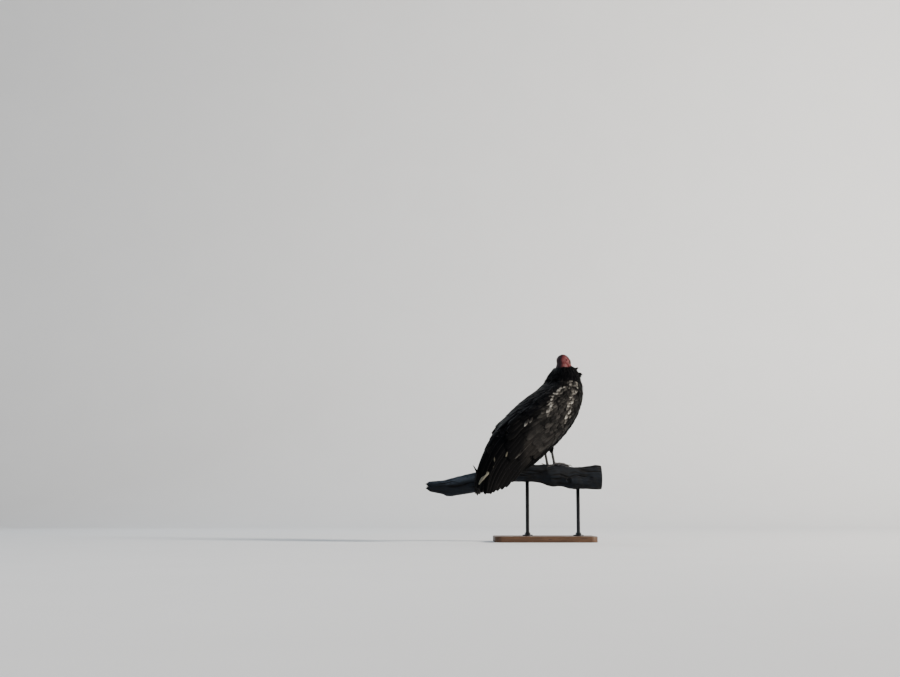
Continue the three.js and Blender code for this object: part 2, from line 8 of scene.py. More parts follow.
import bpy
import numpy as np
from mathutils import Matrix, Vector


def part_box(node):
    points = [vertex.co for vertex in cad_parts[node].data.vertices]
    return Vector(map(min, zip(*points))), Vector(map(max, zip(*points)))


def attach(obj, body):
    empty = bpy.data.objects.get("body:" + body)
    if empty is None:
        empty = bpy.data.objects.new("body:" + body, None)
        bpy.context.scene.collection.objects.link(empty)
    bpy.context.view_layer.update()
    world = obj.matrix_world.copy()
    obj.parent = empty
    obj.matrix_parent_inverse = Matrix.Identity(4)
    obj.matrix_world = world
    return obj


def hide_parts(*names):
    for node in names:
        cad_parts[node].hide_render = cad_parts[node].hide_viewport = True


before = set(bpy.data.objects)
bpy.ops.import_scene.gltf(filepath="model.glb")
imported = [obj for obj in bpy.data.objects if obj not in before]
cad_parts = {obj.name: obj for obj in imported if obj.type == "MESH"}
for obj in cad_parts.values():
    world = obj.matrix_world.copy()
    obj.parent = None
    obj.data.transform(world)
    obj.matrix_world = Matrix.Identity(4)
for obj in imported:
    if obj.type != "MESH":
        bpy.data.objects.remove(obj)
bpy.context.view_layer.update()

# %% [markdown]
# ## The camera, the floor and the light
# The bird is watched from low down and far off, so a normal lens stands five metres away, a hand's width
# above the floor, and looks up past the bird. One large warm lamp on the right gives the low sun, two wide
# cool ones, in front and behind, fill the shade, and the pale floor rises into a pale wall behind.

# %% Camera
DISTANCE, ASIDE, EYE_LEVEL, LOOK_LEVEL = 5.0, -0.354, 0.12, 0.770
LENS_PER_METRE = 10.53  # millimetres of lens for each metre between the camera and the bird
camera = bpy.data.objects.new("camera", bpy.data.cameras.new("camera"))
bpy.context.scene.collection.objects.link(camera)
camera.data.sensor_width = 36.0
camera.data.lens = LENS_PER_METRE * DISTANCE
camera.location = (ASIDE, -DISTANCE, EYE_LEVEL)


def aim(thing, target):
    """Turns an object at its place so that its -Z axis points at the target."""
    towards = Vector(target) - thing.location
    thing.rotation_mode = "QUATERNION"
    thing.rotation_quaternion = towards.to_track_quat("-Z", "Y")


aim(camera, (ASIDE, 0.0, LOOK_LEVEL))
bpy.context.scene.camera = camera
print("camera lens", camera.data.lens, "mm at", tuple(camera.location))


# %% Lamps and the sky
def lamp(name, place, target, size, power, colour):
    """A square area lamp at a place, pointing at a target. The camera doesn't see the lamp itself."""
    light = bpy.data.lights.new(name, "AREA")
    light.shape, light.size, light.energy, light.color = "SQUARE", size, power, colour
    thing = bpy.data.objects.new(name, light)
    bpy.context.scene.collection.objects.link(thing)
    thing.location = place
    thing.visible_camera = False
    aim(thing, target)


BIRD_MIDDLE = (-0.05, 0.0, 0.46)
lamp("low_sun", (8.4, -3.2, 4.0), BIRD_MIDDLE, 2.2, 2200, (1.0, 0.90, 0.78))
lamp("sky_fill", (-2.2, -3.2, 3.4), BIRD_MIDDLE, 3.2, 28, (0.72, 0.85, 1.0))
lamp("back_fill", (-2.2, 3.2, 3.0), BIRD_MIDDLE, 2.4, 34, (0.76, 0.88, 1.0))

world = bpy.data.worlds.new("pale_sky")
world.use_nodes = True
world.node_tree.nodes["Background"].inputs["Color"].default_value = (0.80, 0.88, 1.0, 1.0)
world.node_tree.nodes["Background"].inputs["Strength"].default_value = 0.28
bpy.context.scene.world = world


# %% [markdown]
# ## Small helpers
# A mesh is filled from whole arrays. A finish is a node graph that starts from the standard shader, and
# every pattern in it follows Object coordinates or a map of the piece's own.

# %% Helpers for meshes
MM = 0.001
TURN = 6.28  # about a full turn, in radians, for angles drawn at random
SIDES = (("right", -1), ("left", 1))


def give_values(mesh, values):
    """Numbers for each point of a mesh, each kind under its key."""
    for key, numbers in values.items():
        mesh.attributes.new(key, "FLOAT", "POINT").data.foreach_set("value", np.asarray(numbers, np.float32))


def build(name, points, faces, finish, slot=None, replaces=(), values=None, maps=None):
    """A smooth mesh piece from points in metres and a list of face arrays, each with its own corner count.

    values are numbers for each point, and maps are pairs of numbers for each point that become UV maps.
    """
    mesh = bpy.data.meshes.new(name)
    corners = np.concatenate([np.asarray(f, np.int32).ravel() for f in faces])
    counts = np.concatenate([np.full(len(f), np.asarray(f).shape[1], np.int32) for f in faces])
    mesh.vertices.add(len(points))
    mesh.vertices.foreach_set("co", np.asarray(points, np.float32).ravel())
    mesh.loops.add(len(corners))
    mesh.loops.foreach_set("vertex_index", corners)
    mesh.polygons.add(len(counts))
    mesh.polygons.foreach_set("loop_start", np.concatenate([[0], np.cumsum(counts)[:-1]]).astype(np.int32))
    mesh.polygons.foreach_set("use_smooth", np.ones(len(counts), bool))
    mesh.update(calc_edges=True)
    give_values(mesh, values or {})
    for key, pairs in (maps or {}).items():
        corner_pairs = np.asarray(pairs, np.float32)[corners]
        mesh.uv_layers.new(name=key).data.foreach_set("uv", corner_pairs.ravel())
    mesh.materials.append(finish)
    thing = bpy.data.objects.new(name, mesh)
    bpy.context.scene.collection.objects.link(thing)
    if slot:
        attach(thing, "root")
    if replaces:
        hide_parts(*replaces)
    return thing


def turns(count):
    """Angles at equal steps round a full turn, in radians."""
    return np.linspace(0, 2 * np.pi, count, endpoint=False)


def closed_tube(grid):
    """The points of a (rings, sides, 3) grid and the middles of its two end rings, and its faces: quads
    along the tube, and a fan of triangles over each end."""
    rings, sides = grid.shape[:2]
    ends = np.stack([grid[0].mean(0), grid[-1].mean(0)])
    i, k = np.meshgrid(np.arange(rings - 1), np.arange(sides), indexing="ij")
    a, b = i * sides + k, i * sides + (k + 1) % sides
    quads = np.stack([a, b, b + sides, a + sides], -1).reshape(-1, 4)
    k, top, start = np.arange(sides), (rings - 1) * sides, rings * sides
    low = np.stack([np.full(sides, start), (k + 1) % sides, k], -1)
    high = np.stack([np.full(sides, start + 1), top + k, top + (k + 1) % sides], -1)
    return np.concatenate([grid.reshape(-1, 3), ends]), [quads, np.concatenate([low, high])]


def smooth_rows(rows):
    """A smooth curve through rows of numbers: each stretch is the cubic that leaves and reaches its rows
    along the line between the rows on either side. at(t) gives the row at t from 0 to 1."""
    rows = np.asarray(rows, float)
    last = len(rows) - 1
    padded = np.vstack([rows[:1], rows, rows[-1:]])

    def at(t):
        x = np.clip(t, 0, 1) * last
        i = np.minimum(np.floor(x).astype(int), last - 1)
        f = (x - i)[..., None]
        p0, p1, p2, p3 = (padded[i + k] for k in range(4))
        curve = (2 * p0 - 5 * p1 + 4 * p2 - p3) * f**2 + (3 * p1 - p0 - 3 * p2 + p3) * f**3
        return 0.5 * (2 * p1 + (p2 - p0) * f + curve)

    return at


def ramp(x, low, high):
    """0 below low, 1 above high, and a smooth step between."""
    t = np.clip((x - low) / (high - low), 0, 1)
    return t * t * (3 - 2 * t)


def bump(x, middle, reach):
    """A bell round a middle: exp(-((x - middle) / reach) squared)."""
    return np.exp(-(((x - middle) / reach) ** 2))


def folds(t):
    """Round ridges with sharp valleys between, one for each whole step of t, from 0 to 1."""
    return np.abs(np.sin(np.pi * t)) ** 0.7


def ripple(p, size, seed):
    """Smooth lumps about `size` across: a mean of sines that run along turned, uneven directions."""
    draw = np.random.default_rng(seed)
    total = np.zeros(p.shape[:-1])
    for _ in range(9):
        way = draw.normal(size=3)
        way /= np.linalg.norm(way)
        total += np.sin(p @ way * (2 * np.pi / (size * draw.uniform(0.7, 1.5))) + draw.uniform(0, TURN))
    return total / 3


# %% Helpers for finishes
def finish(name, **settings):
    """A new material with its settings on the shader's own sockets, a function that adds a node to it, and
    one that links what the nodes give to the shader."""
    material = bpy.data.materials.new(name)
    material.use_nodes = True
    tree = material.node_tree
    shader = tree.nodes["Principled BSDF"]
    for key, value in settings.items():
        shader.inputs[key.replace("_", " ")].default_value = value

    def add(kind, inputs=None, out=0, **choices):
        made = tree.nodes.new("ShaderNode" + kind)
        for key, value in choices.items():
            setattr(made, key, value)
        for key, value in (inputs or {}).items():
            if isinstance(value, bpy.types.NodeSocket):
                tree.links.new(value, made.inputs[key])
            else:
                made.inputs[key].default_value = value
        return made.outputs[out]

    def wear(**sockets):
        for key, value in sockets.items():
            tree.links.new(value, shader.inputs[key.replace("_", " ")])

    return material, add, wear


def math_node(add, operation, a, b=0.0, c=0.0, clamp=False):
    """One Math node. Only MULTIPLY_ADD, which is a * b + c, reads c."""
    return add("Math", {0: a, 1: b, 2: c}, operation=operation, use_clamp=clamp)


def times(add, a, b, clamp=False):
    """The product of two numbers."""
    return math_node(add, "MULTIPLY", a, b, clamp=clamp)


def attribute(add, name):
    """The number of this name that each point of the mesh carries."""
    return add("Attribute", attribute_name=name, out=2)


def blend_rgb(add, amount, first, second):
    """A mix of two colours. Each is a socket, or red, green and blue."""
    first, second = ((*colour, 1.0) if isinstance(colour, tuple) else colour for colour in (first, second))
    return add("MixRGB", {"Fac": amount, "Color1": first, "Color2": second})


def layered(add, colour, *layers):
    """A colour with others laid over it in turn, each by its own amount."""
    for amount, over in layers:
        colour = blend_rgb(add, amount, colour, over)
    return colour


def steps(add, value, low, high):
    """A smooth step from 0 at low to 1 at high."""
    return add(
        "MapRange", {"Value": value, "From Min": low, "From Max": high}, interpolation_type="SMOOTHSTEP"
    )


def relief(add, height, depth, strength=1.0):
    """A Bump node from a height from 0 to 1, `depth` metres deep."""
    return add("Bump", {"Height": height, "Distance": depth, "Strength": strength})


def noise(add, scale, detail=4.0, roughness=0.55):
    """A Noise texture in Object coordinates, `scale` lumps to a metre."""
    where = add("TexCoord", out=3)
    return add("TexNoise", {"Vector": where, "Scale": scale, "Detail": detail, "Roughness": roughness})


def cells(add, scale, feature):
    """A Voronoi texture in Object coordinates, `scale` cells to a metre."""
    return add("TexVoronoi", {"Vector": add("TexCoord", out=3), "Scale": scale}, feature=feature)


def drawn_out(add, x, y, z, detail, **more):
    """A Noise texture with x, y and z lumps to a metre, for a grain that runs along one axis."""
    place = add("Mapping", {"Vector": add("TexCoord", out=3), "Scale": (x, y, z)})
    return add("TexNoise", {"Vector": place, "Scale": 1.0, "Detail": detail, **more})


# %% [markdown]
# ## Stage
# The floor and the wall are one sheet: flat to the back, then bent up on a wide arc, so no corner shows.

# %% Floor and wall
def sweep_stage():
    """A sheet with a flat floor, a quarter arc and an upright wall, four metres behind the bird."""
    front, depth, arc, height, half = -9.0, 4.0, 1.5, 9.0, 12.0
    turn = np.linspace(0, np.pi / 2, 16)
    y = np.concatenate([[front], depth + arc * np.sin(turn), [depth + arc]])
    z = np.concatenate([[0.0], arc * (1 - np.cos(turn)), [height]])
    n = len(y)
    points = np.concatenate([np.stack([np.full(n, x), y, z], -1) for x in (-half, half)])
    i = np.arange(n - 1)
    return points, [np.stack([i, i + n, i + n + 1, i + 1], -1)]


paper, add, wear = finish("studio_paper", Roughness=0.9)
mottle = noise(add, 3.0, 2.0)
wear(Base_Color=blend_rgb(add, mottle, (0.76, 0.79, 0.82), (0.80, 0.83, 0.86)))
build("floor_and_wall", *sweep_stage(), paper)

# %% [markdown]
# ## The display stand
# A dark wooden slab and two steel rods hold the limb. The slab's outline is a rounded rectangle, and its
# edge is a small quarter round, so light runs along it. Each rod stands in a turned collar.

# %% Base and rods
base_low, base_high = (np.array(corner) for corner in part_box("stand_base"))
BASE_CORNER, BASE_EDGE = 0.028, 0.003


def slab(low, high, corner, edge):
    """Rings of a rounded rectangle, stepped inwards by edge * (1 - sin) while rising by edge * (1 - cos)."""
    centre, half = (low + high) / 2, (high - low) / 2
    turn = np.linspace(0, np.pi / 2, 6)
    inset = np.concatenate([[half[1]], edge * (1 - np.sin(turn)), edge * (1 - np.sin(turn[::-1])), [half[1]]])
    rise = np.concatenate([[0], edge * (1 - np.cos(turn)), 2 * half[2] - edge * (1 - np.cos(turn[::-1]))])
    rise = np.append(rise, 2 * half[2])
    a = turns(96) + np.pi / 96
    way = np.stack([np.cos(a), np.sin(a)], -1)
    rings = []
    for step, up in zip(inset, rise):
        round_off = max(corner - step, 0.0005)
        arm = np.maximum(half[:2] - step - round_off, 0.0)
        flat = centre[:2] + np.sign(way) * arm + way * round_off
        rings.append(np.column_stack([flat, np.full(len(a), low[2] + up)]))
    return np.array(rings)


oak, add, wear = finish("dark_oak", Roughness=0.5, Specular_IOR_Level=0.3)
grain = drawn_out(add, 13.2, 204.0, 120.0, 6.0, Distortion=0.6)
pores = steps(add, drawn_out(add, 18.0, 840.0, 240.0, 2.0), 0.62, 0.72)
light_wood = blend_rgb(add, grain, (0.035, 0.018, 0.010), (0.125, 0.066, 0.036))
wear(Base_Color=blend_rgb(add, pores, light_wood, (0.016, 0.009, 0.006)))
wear(Normal=relief(add, pores, -0.0003, 0.5))
board = closed_tube(slab(base_low, base_high, BASE_CORNER, BASE_EDGE))
build("display_base", *board, oak, "base_wood", ["stand_base"])


def turned(profile, x, y, sides=64):
    """Rings of (radius, height) turned about the upright line through (x, y)."""
    profile = np.asarray(profile)
    a = turns(sides)
    ring = profile[:, :1] * np.cos(a), profile[:, :1] * np.sin(a)
    return np.stack([x + ring[0], y + ring[1], np.repeat(profile[:, 1:], sides, 1)], -1)


steel, add, wear = finish("dark_steel", Metallic=0.9, Roughness=0.34)
brushed = drawn_out(add, 240.0, 240.0, 3600.0, 2.0)
wear(Base_Color=blend_rgb(add, brushed, (0.035, 0.036, 0.040), (0.075, 0.076, 0.082)))
wear(Normal=relief(add, brushed, 0.00004, 0.4))
COLLAR = [
    # how far it stands out from the rod, and its height over the base, in metres
    (0.013, 0.0),
    (0.013, 0.003),
    (0.0115, 0.0045),
    (0.004, 0.006),
    (0.0035, 0.012),
    (0.0, 0.0135),
]
for rod in ("rod_1", "rod_2"):
    low, high = (np.array(corner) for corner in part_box(f"stand_{rod}"))
    (x, y, _), radius = (low + high) / 2, (high[0] - low[0]) / 2
    profile = [(radius + out, base_high[2] + up) for out, up in COLLAR] + [(radius, high[2] - 0.001)]
    build(f"steel_{rod}", *closed_tube(turned(profile, x, y)), steel, "rod_metal", [f"stand_{rod}"])
    print(rod, "at", round(float(x), 3), round(float(y), 3))

# %% [markdown]
# ## The dead limb
# A weathered limb has lost its bark: silver wood with grooves along the grain, drying cracks that wander
# with it, a knot, a torn tip, and a clean saw cut at the other end. It is one tube along the limb's line.
# Its radius is the plain limb's, with grooves, cracks and lumps cut into it.

# %% The limb's line
LIMB_TOP = 290.0
LIMB_LINE = [
    # x, y, z, radius, from the torn tip to the saw cut
    (-438, 58, 209, 11),
    (-428, 57, 208, 19),
    (-381, 50, 205, 27),
    (-358, 46, 204, 33),
    (-297, 40, 216, 36),
    (-255, 34, 224, 37),
    (-137, 20, 252, 32),
    (-73, 10, 257, 31),
    (-16, 2, 255, 34),
    (26, -2, 248.5, 41),
    (64, -4, 249, 40),
    (98, -5, 241, 41),
    (155, -6, 238, 42),
    (197, -6, 239, 46),
    (216, -6, 239, 45),
]
TORN_X, SAWN_X = LIMB_LINE[0][0], LIMB_LINE[-1][0]
BEND_X, KNOT_X, KNOT_TURN = 118.0, 92.0, 3.5
CRACKS = 46
limb_at = smooth_rows(LIMB_LINE)
limb_table = limb_at(np.linspace(0, 1, 600))


def limb_across(x):
    """The limb's middle (y, z) and radius at a distance along X."""
    return [np.interp(x, limb_table[:, 0], limb_table[:, c]) for c in (1, 2, 3)]


def limb_radius(x, turn, radius):
    """The radius times one plus low ridges, sin(3 turn + x / 60) and sin(5 turn - x / 31), and a swelling
    at the bend."""
    ridges = 0.035 * np.sin(3 * turn + x / 60) + 0.02 * np.sin(5 * turn - x / 31)
    return radius * (1 + ridges + 0.05 * bump(x, BEND_X, 20) * np.cos(turn + 2.1))


# %% The limb's surface
def half_turns(angle):
    """The same angle, between half a turn backwards and half a turn forwards."""
    return (angle + np.pi) % (2 * np.pi) - np.pi


def crack_depth(x, drift):
    """How deep each place lies in a drying crack, from 0 to 1. A crack is a bell across the wandering
    grain, widest in its middle, and it closes to a point at both ends."""
    depth = np.zeros(drift.shape)
    draw = np.random.default_rng(20)
    for _ in range(CRACKS):
        at_turn, middle, reach = draw.uniform(0, TURN), draw.uniform(-420, 205), draw.uniform(22, 95)
        wide = draw.uniform(0.034, 0.058)
        away = half_turns(drift - at_turn + 0.05 * np.sin(x / 17 + at_turn * 9))
        ends = np.clip(1 - ((x - middle) / reach) ** 2, 0, 1)
        depth = np.maximum(depth, ends**0.7 * bump(away, 0, wide * (0.7 + 0.5 * ends)))
    return depth


def limb_surface():
    """The tube's points in millimetres, and how deep in a groove or crack each one lies, from 0 to 1."""
    turn = turns(200)
    x, y, z, radius = (column[:, None] for column in limb_at(np.linspace(0, 1, 480)).T)
    drift = turn + 0.25 * np.sin(x / 70) + 0.10 * np.sin(x / 23 + 2 * turn) + 0.35 * bump(x, BEND_X, 26)
    across = np.stack([np.cos(drift) * 30, np.sin(drift) * 30, x * 0.085 + 0 * drift], -1)
    grain = ripple(across, 9, 4) * 0.5 + ripple(across, 4.0, 8) * 0.35
    depth = crack_depth(x, drift)
    torn = bump(x, TORN_X, 26)
    lumps = ripple(np.stack([np.cos(turn) * 24 + 0 * x, np.sin(turn) * 24 + 0 * x, x + 0 * turn], -1), 30, 5)
    beside_knot = (x - KNOT_X) / 9, half_turns(turn - KNOT_TURN) / 0.24
    knot = bump(beside_knot[0], 0, 1) * bump(beside_knot[1], 0, 1)
    ring = bump(np.hypot(*beside_knot), 1.25, 0.35)
    size = limb_radius(x, turn, radius) + 0.7 * grain - 3.4 * depth + 0.55 * lumps
    size = size - 2.2 * torn * np.abs(grain) - 4.0 * knot + 2.2 * ring - 0.8 * ramp(x, SAWN_X - 4, SAWN_X)
    jag = torn * (4.5 * ripple(across, 11, 15) + 2.0 * ripple(across, 5, 16))
    grid = np.stack([x + jag, y + size * np.cos(turn), z + size * np.sin(turn)], -1)
    # cavity is darkened in the finish as painted shade in grooves, cracks and the knot
    cavity = np.clip(0.5 - 0.35 * grain + 0.8 * depth + 0.5 * knot, 0, 1)
    return grid, cavity


def close_ends(grid, cavity):
    """Adds rings that shrink to the middle of each end: a hollowed, splintered tip and a flat sawn face. Also
    gives each place's distance from the sawn face's middle, or -1 away from it."""
    share = np.array([0.975, 0.82, 0.6, 0.36, 0.14])[:, None, None]
    tip, cut = grid[:1], grid[-1:]
    tip_rings = tip.mean(1, keepdims=True) * (1 - share) + tip * share
    tip_rings[..., 0] += 5.0 * (1 - share[..., 0]) + 1.6 * ripple(tip_rings, 6, 31)
    cut_rings = cut.mean(1, keepdims=True) * (1 - share) + cut * share
    cut_rings[..., 0] = SAWN_X
    whole = np.concatenate([tip_rings[::-1], grid, cut_rings])
    # the torn tip's hollow gets deep painted shade, the sawn face little
    ends = np.full((len(share), cavity.shape[1]), 0.85)
    cavity = np.concatenate([ends, cavity, 0.25 + 0 * ends])
    from_middle = np.full(cavity.shape, -1.0)
    from_middle[-len(share):] = np.linalg.norm(cut_rings - cut.mean(1, keepdims=True), axis=-1)
    return whole, cavity, from_middle


YEAR_MM = 2.6  # from one growth ring to the next on the sawn face

dead_wood, add, wear = finish("dead_wood_in_painted_shade", Roughness=0.86, Specular_IOR_Level=0.12)
fibre = drawn_out(add, 14.0, 330.0, 330.0, 5.0, Roughness=0.65)
hair = drawn_out(add, 26.0, 1100.0, 1100.0, 3.0)
checks = steps(add, drawn_out(add, 16.0, 210.0, 210.0, 2.0), 0.63, 0.70)
patch = noise(add, 26.0)
lichen = steps(add, noise(add, 95.0, 5.0, roughness=0.7), 0.60, 0.72)
# painted shade where the wood lies deep: grooves, cracks, drying checks and the torn tip's hollow
hollow = math_node(add, "MAXIMUM", steps(add, attribute(add, "cavity"), 0.5, 0.95), times(add, checks, 0.8))
# The silver wood is painted dark and bluish all over, its look in shade, with painted skylight on its upper
# side towards the torn tip
weathered_in_painted_shade = layered(
    add, blend_rgb(add, fibre, (0.0040, 0.0054, 0.0080), (0.0185, 0.0225, 0.0290)),
    (steps(add, patch, 0.42, 0.68), (0.0115, 0.0118, 0.0130)),
    (times(add, lichen, 0.30), (0.038, 0.044, 0.047)),
    (times(add, attribute(add, "bleached"), steps(add, fibre, 0.1, 0.7)), (0.115, 0.140, 0.170)),
    (hollow, (0.006, 0.006, 0.006)),
)
radius = attribute(add, "from_middle")
wander = math_node(add, "MULTIPLY_ADD", noise(add, 60.0, 3.0), 2.5, 0.5)
years = times(add, math_node(add, "ADD", radius, wander), 2 * np.pi / YEAR_MM)
years = steps(add, math_node(add, "SINE", years), -0.6, 1.0)
sawn = blend_rgb(add, years, (0.030, 0.023, 0.018), (0.078, 0.062, 0.048))
sawn = blend_rgb(add, times(add, patch, 0.7), sawn, (0.034, 0.031, 0.029))
wear(Base_Color=blend_rgb(add, steps(add, radius, -0.5, 0.0), weathered_in_painted_shade, sawn))
strands = math_node(add, "ADD", fibre, times(add, hair, 0.35))
strands = math_node(add, "SUBTRACT", strands, times(add, checks, 0.8))
wear(Normal=relief(add, strands, 0.0012, 0.9))
points, cavity, from_middle = close_ends(*limb_surface())
height = points[..., 2] - np.interp(points[..., 0], limb_table[:, 0], limb_table[:, 2])
# painted skylight: the limb's upper side is lighter, more so towards the torn tip
bleached = ramp(height, 2, 26) * ramp(-points[..., 0], 130, 300)
values = {
    "cavity": np.append(cavity, [0.85, 0.25]),
    "from_middle": np.append(from_middle, [-1.0, 0.0]),
    "bleached": np.append(bleached, [0.0, 0.0]),
}
build("dead_limb", *closed_tube(points * MM), dead_wood, "dead_wood", ["perch"], values)
print("limb grid", points.shape)


# %% [markdown]
# ## The bird's own frame and its envelope
# The bird is worked out in millimetres with u forward, v to its left and h up from the limb. All its
# plumage lies along one envelope: a tube from the neck over the shoulders to the wing tips. A place on it
# is (s, around): s is 0 at the ruff and 1 at the wing tips, and around is 0 on the breast, 90 on a flank
# and 180 on the back. A lift moves a place in or out, so layers of feathers are layers of lift.

# %% Places on the bird
BIRD_AT, BIRD_TURN = (18.0, -4.0), np.radians(25.0)


def to_world(p):
    """Metres in the frame's axes from millimetres in the bird's: a turn about the upright, and a shift."""
    c, s = np.cos(BIRD_TURN), np.sin(BIRD_TURN)
    u, v, h = p[..., 0], p[..., 1], p[..., 2]
    return MM * np.stack([BIRD_AT[0] + c * u - s * v, BIRD_AT[1] + s * u + c * v, LIMB_TOP + h], -1)


ENVELOPE_LINE = [
    # u and h of the middle, depth to the breast side, depth to the back, half width
    (76, 370, 13, 42, 27),
    (76, 364, 44, 44, 48),
    (70, 334, 62, 50, 64),
    (56, 290, 88, 58, 90),
    (30, 244, 104, 74, 106),
    (-6, 199, 110, 92, 112),
    (-48, 154, 110, 103, 110),
    (-92, 109, 104, 108, 102),
    (-134, 64, 98, 108, 90),
    (-172, 18, 92, 104, 78),
    (-206, -30, 84, 96, 68),
    (-236, -78, 66, 82, 60),
    (-264, -128, 44, 50, 52),
]
envelope_rows = smooth_rows(ENVELOPE_LINE)
ROWS_BELOW_RUFF = len(ENVELOPE_LINE) - 2
BOXED = 0.92  # the power that makes the ellipse of a section slightly square


def envelope_at(s):
    """The envelope's row at s. The first row lies on the neck, one step before s = 0."""
    return envelope_rows((s * ROWS_BELOW_RUFF + 1) / (ROWS_BELOW_RUFF + 1))


def on_envelope(s, around, lift, side=1):
    """A place on the envelope. Its section is a slightly boxed ellipse, |cos|^BOXED by |sin|^BOXED, set
    square to the line of middles, with its own depth on the breast and on the back."""
    s, around, lift, side = np.broadcast_arrays(s, around, lift, side)
    u, h, front, back, half = np.moveaxis(envelope_at(s), -1, 0)
    ahead = (envelope_at(s + 0.02) - envelope_at(s - 0.02))[..., :2]
    ahead = ahead / np.linalg.norm(ahead, axis=-1, keepdims=True)
    a = np.radians(around)
    c, n = (np.sign(part) * np.abs(part) ** BOXED for part in (np.cos(a), np.sin(a)))
    deep = c * (np.where(c > 0, front, back) + lift)
    return np.stack([u - ahead[..., 1] * deep, side * n * (half + lift), h + ahead[..., 0] * deep], -1)


def body_lift(s, around):
    """How far the coat of the trunk lies from the envelope: a little in, and drawn in where it ends."""
    off_back = np.abs((around % 360) - 180)
    end = -30 * np.clip((s - 0.60) / 0.18, 0, 1) ** 2
    return np.where(off_back > 90, -4.0, -5.0) + end


def on_body(s, around, lift, side=1):
    """A place on the trunk's coat."""
    return on_envelope(s, around, body_lift(s, around) + lift, side)


def secondary_lift(s):
    """The layer of the secondaries, which rises where the coverts end."""
    return -7 + 4 * ramp(s, 0.52, 0.62)


def wing_lift(s, around):
    """The folded wing's shield: a cushion over the flank that thins to its edges, fullest at the wrist."""
    p, q = (s - 0.12) / 0.48, (around - 45) / 105
    inside = np.minimum(np.minimum(p * 1.4, 1 - p), np.minimum(q, 1 - q))
    near = np.clip(3.2 * inside, 0, 1)
    wrist = 9 * bump(p, 0.22, 0.2) * bump(q, 0.2, 0.25)
    return np.maximum(-5 + (9 + wrist) * np.sqrt(near * (2 - near)), secondary_lift(s) + 1.5)


def on_wing(s, around, lift, side=1):
    """A place on the wing's shield of coverts."""
    return on_envelope(s, around, wing_lift(s, around) + lift, side)


def on_secondaries(s, around, lift, side=1):
    """A place on the layer of the secondaries."""
    return on_envelope(s, around, secondary_lift(s) + lift, side)


def on_primaries(s, around, lift, side=1):
    """A place on the layer of the primaries, under the secondaries."""
    return on_envelope(s, around, -13 + 7.5 * ramp(s, 0.60, 0.74) + lift, side)


def on_tail(s, around, lift, side=1):
    """A place on the tail: high along the middle, and low where the wings cover it."""
    off_middle = np.abs(around - 180) / 67.5
    return on_envelope(s, around, -20 + 15 * np.clip(1 - off_middle / 0.42, 0, 1) ** 0.6 + lift, side)


# %% [markdown]
# ## Vanes
# A feather is a thin closed vane. It is laid out on the surface itself: its length runs down the lie of
# the coat and its width across it, so it bends with the body. Each one starts a little sunken and ends a
# little raised, which makes rows overlap like tiles, and each leans to one side, so that neighbours
# overlap too. Every vane carries its distance from the margin, a tone of its own, and a map of its width
# and length in millimetres for the shaft and the barbs.


# %% Outlines of feathers
def round_end(p, start, reach, power):
    """1 as far as start, then a round fall to nearly nothing: sqrt(1 - t^power), t from 0 to 1 over reach."""
    return np.sqrt(np.clip(1 - np.clip((p - start) / reach, 0, 1) ** power, 0.004, 1))


def rounded(p):
    """A body feather: widens from a narrow root and ends in a round tip."""
    return (0.35 + 0.65 * ramp(p, -0.1, 0.45)) * round_end(p, 0.55, 0.46, 2.4)


def pointed(p):
    """A lance: widest a third of the way along, then straight to a fine point."""
    return np.clip(np.sin(np.pi * np.clip(p, 0, 1) ** 0.62), 0, 1) ** 0.8 * 0.96 + 0.04


def loose(p):
    """A soft, worn feather: widest past the middle, with a blunt point."""
    wide = (0.4 + 0.6 * ramp(p, -0.1, 0.5)) * (1 - 0.45 * ramp(p, 0.62, 0.95))
    return wide * round_end(p, 0.62, 0.385, 2.0)


def blade(p):
    """A flight feather: nearly parallel sides and a blunt, round tip."""
    return (0.5 + 0.5 * ramp(p, -0.2, 0.5)) * round_end(p, 0.86, 0.145, 2.2)


def notched(p):
    """A long primary: its vane narrows past the middle to a slim finger with a round tip."""
    finger = 1 - 0.38 * ramp(p, 0.5, 0.68)
    return finger * (0.55 + 0.45 * ramp(p, -0.2, 0.4)) * round_end(p, 0.93, 0.075, 2.2)


# %% Laying vanes on a surface
NEARBY = 0.004  # the step of s that the local scale along the surface is measured over
PATCH = 0.003  # the width of one vane's patch on the map of the coat


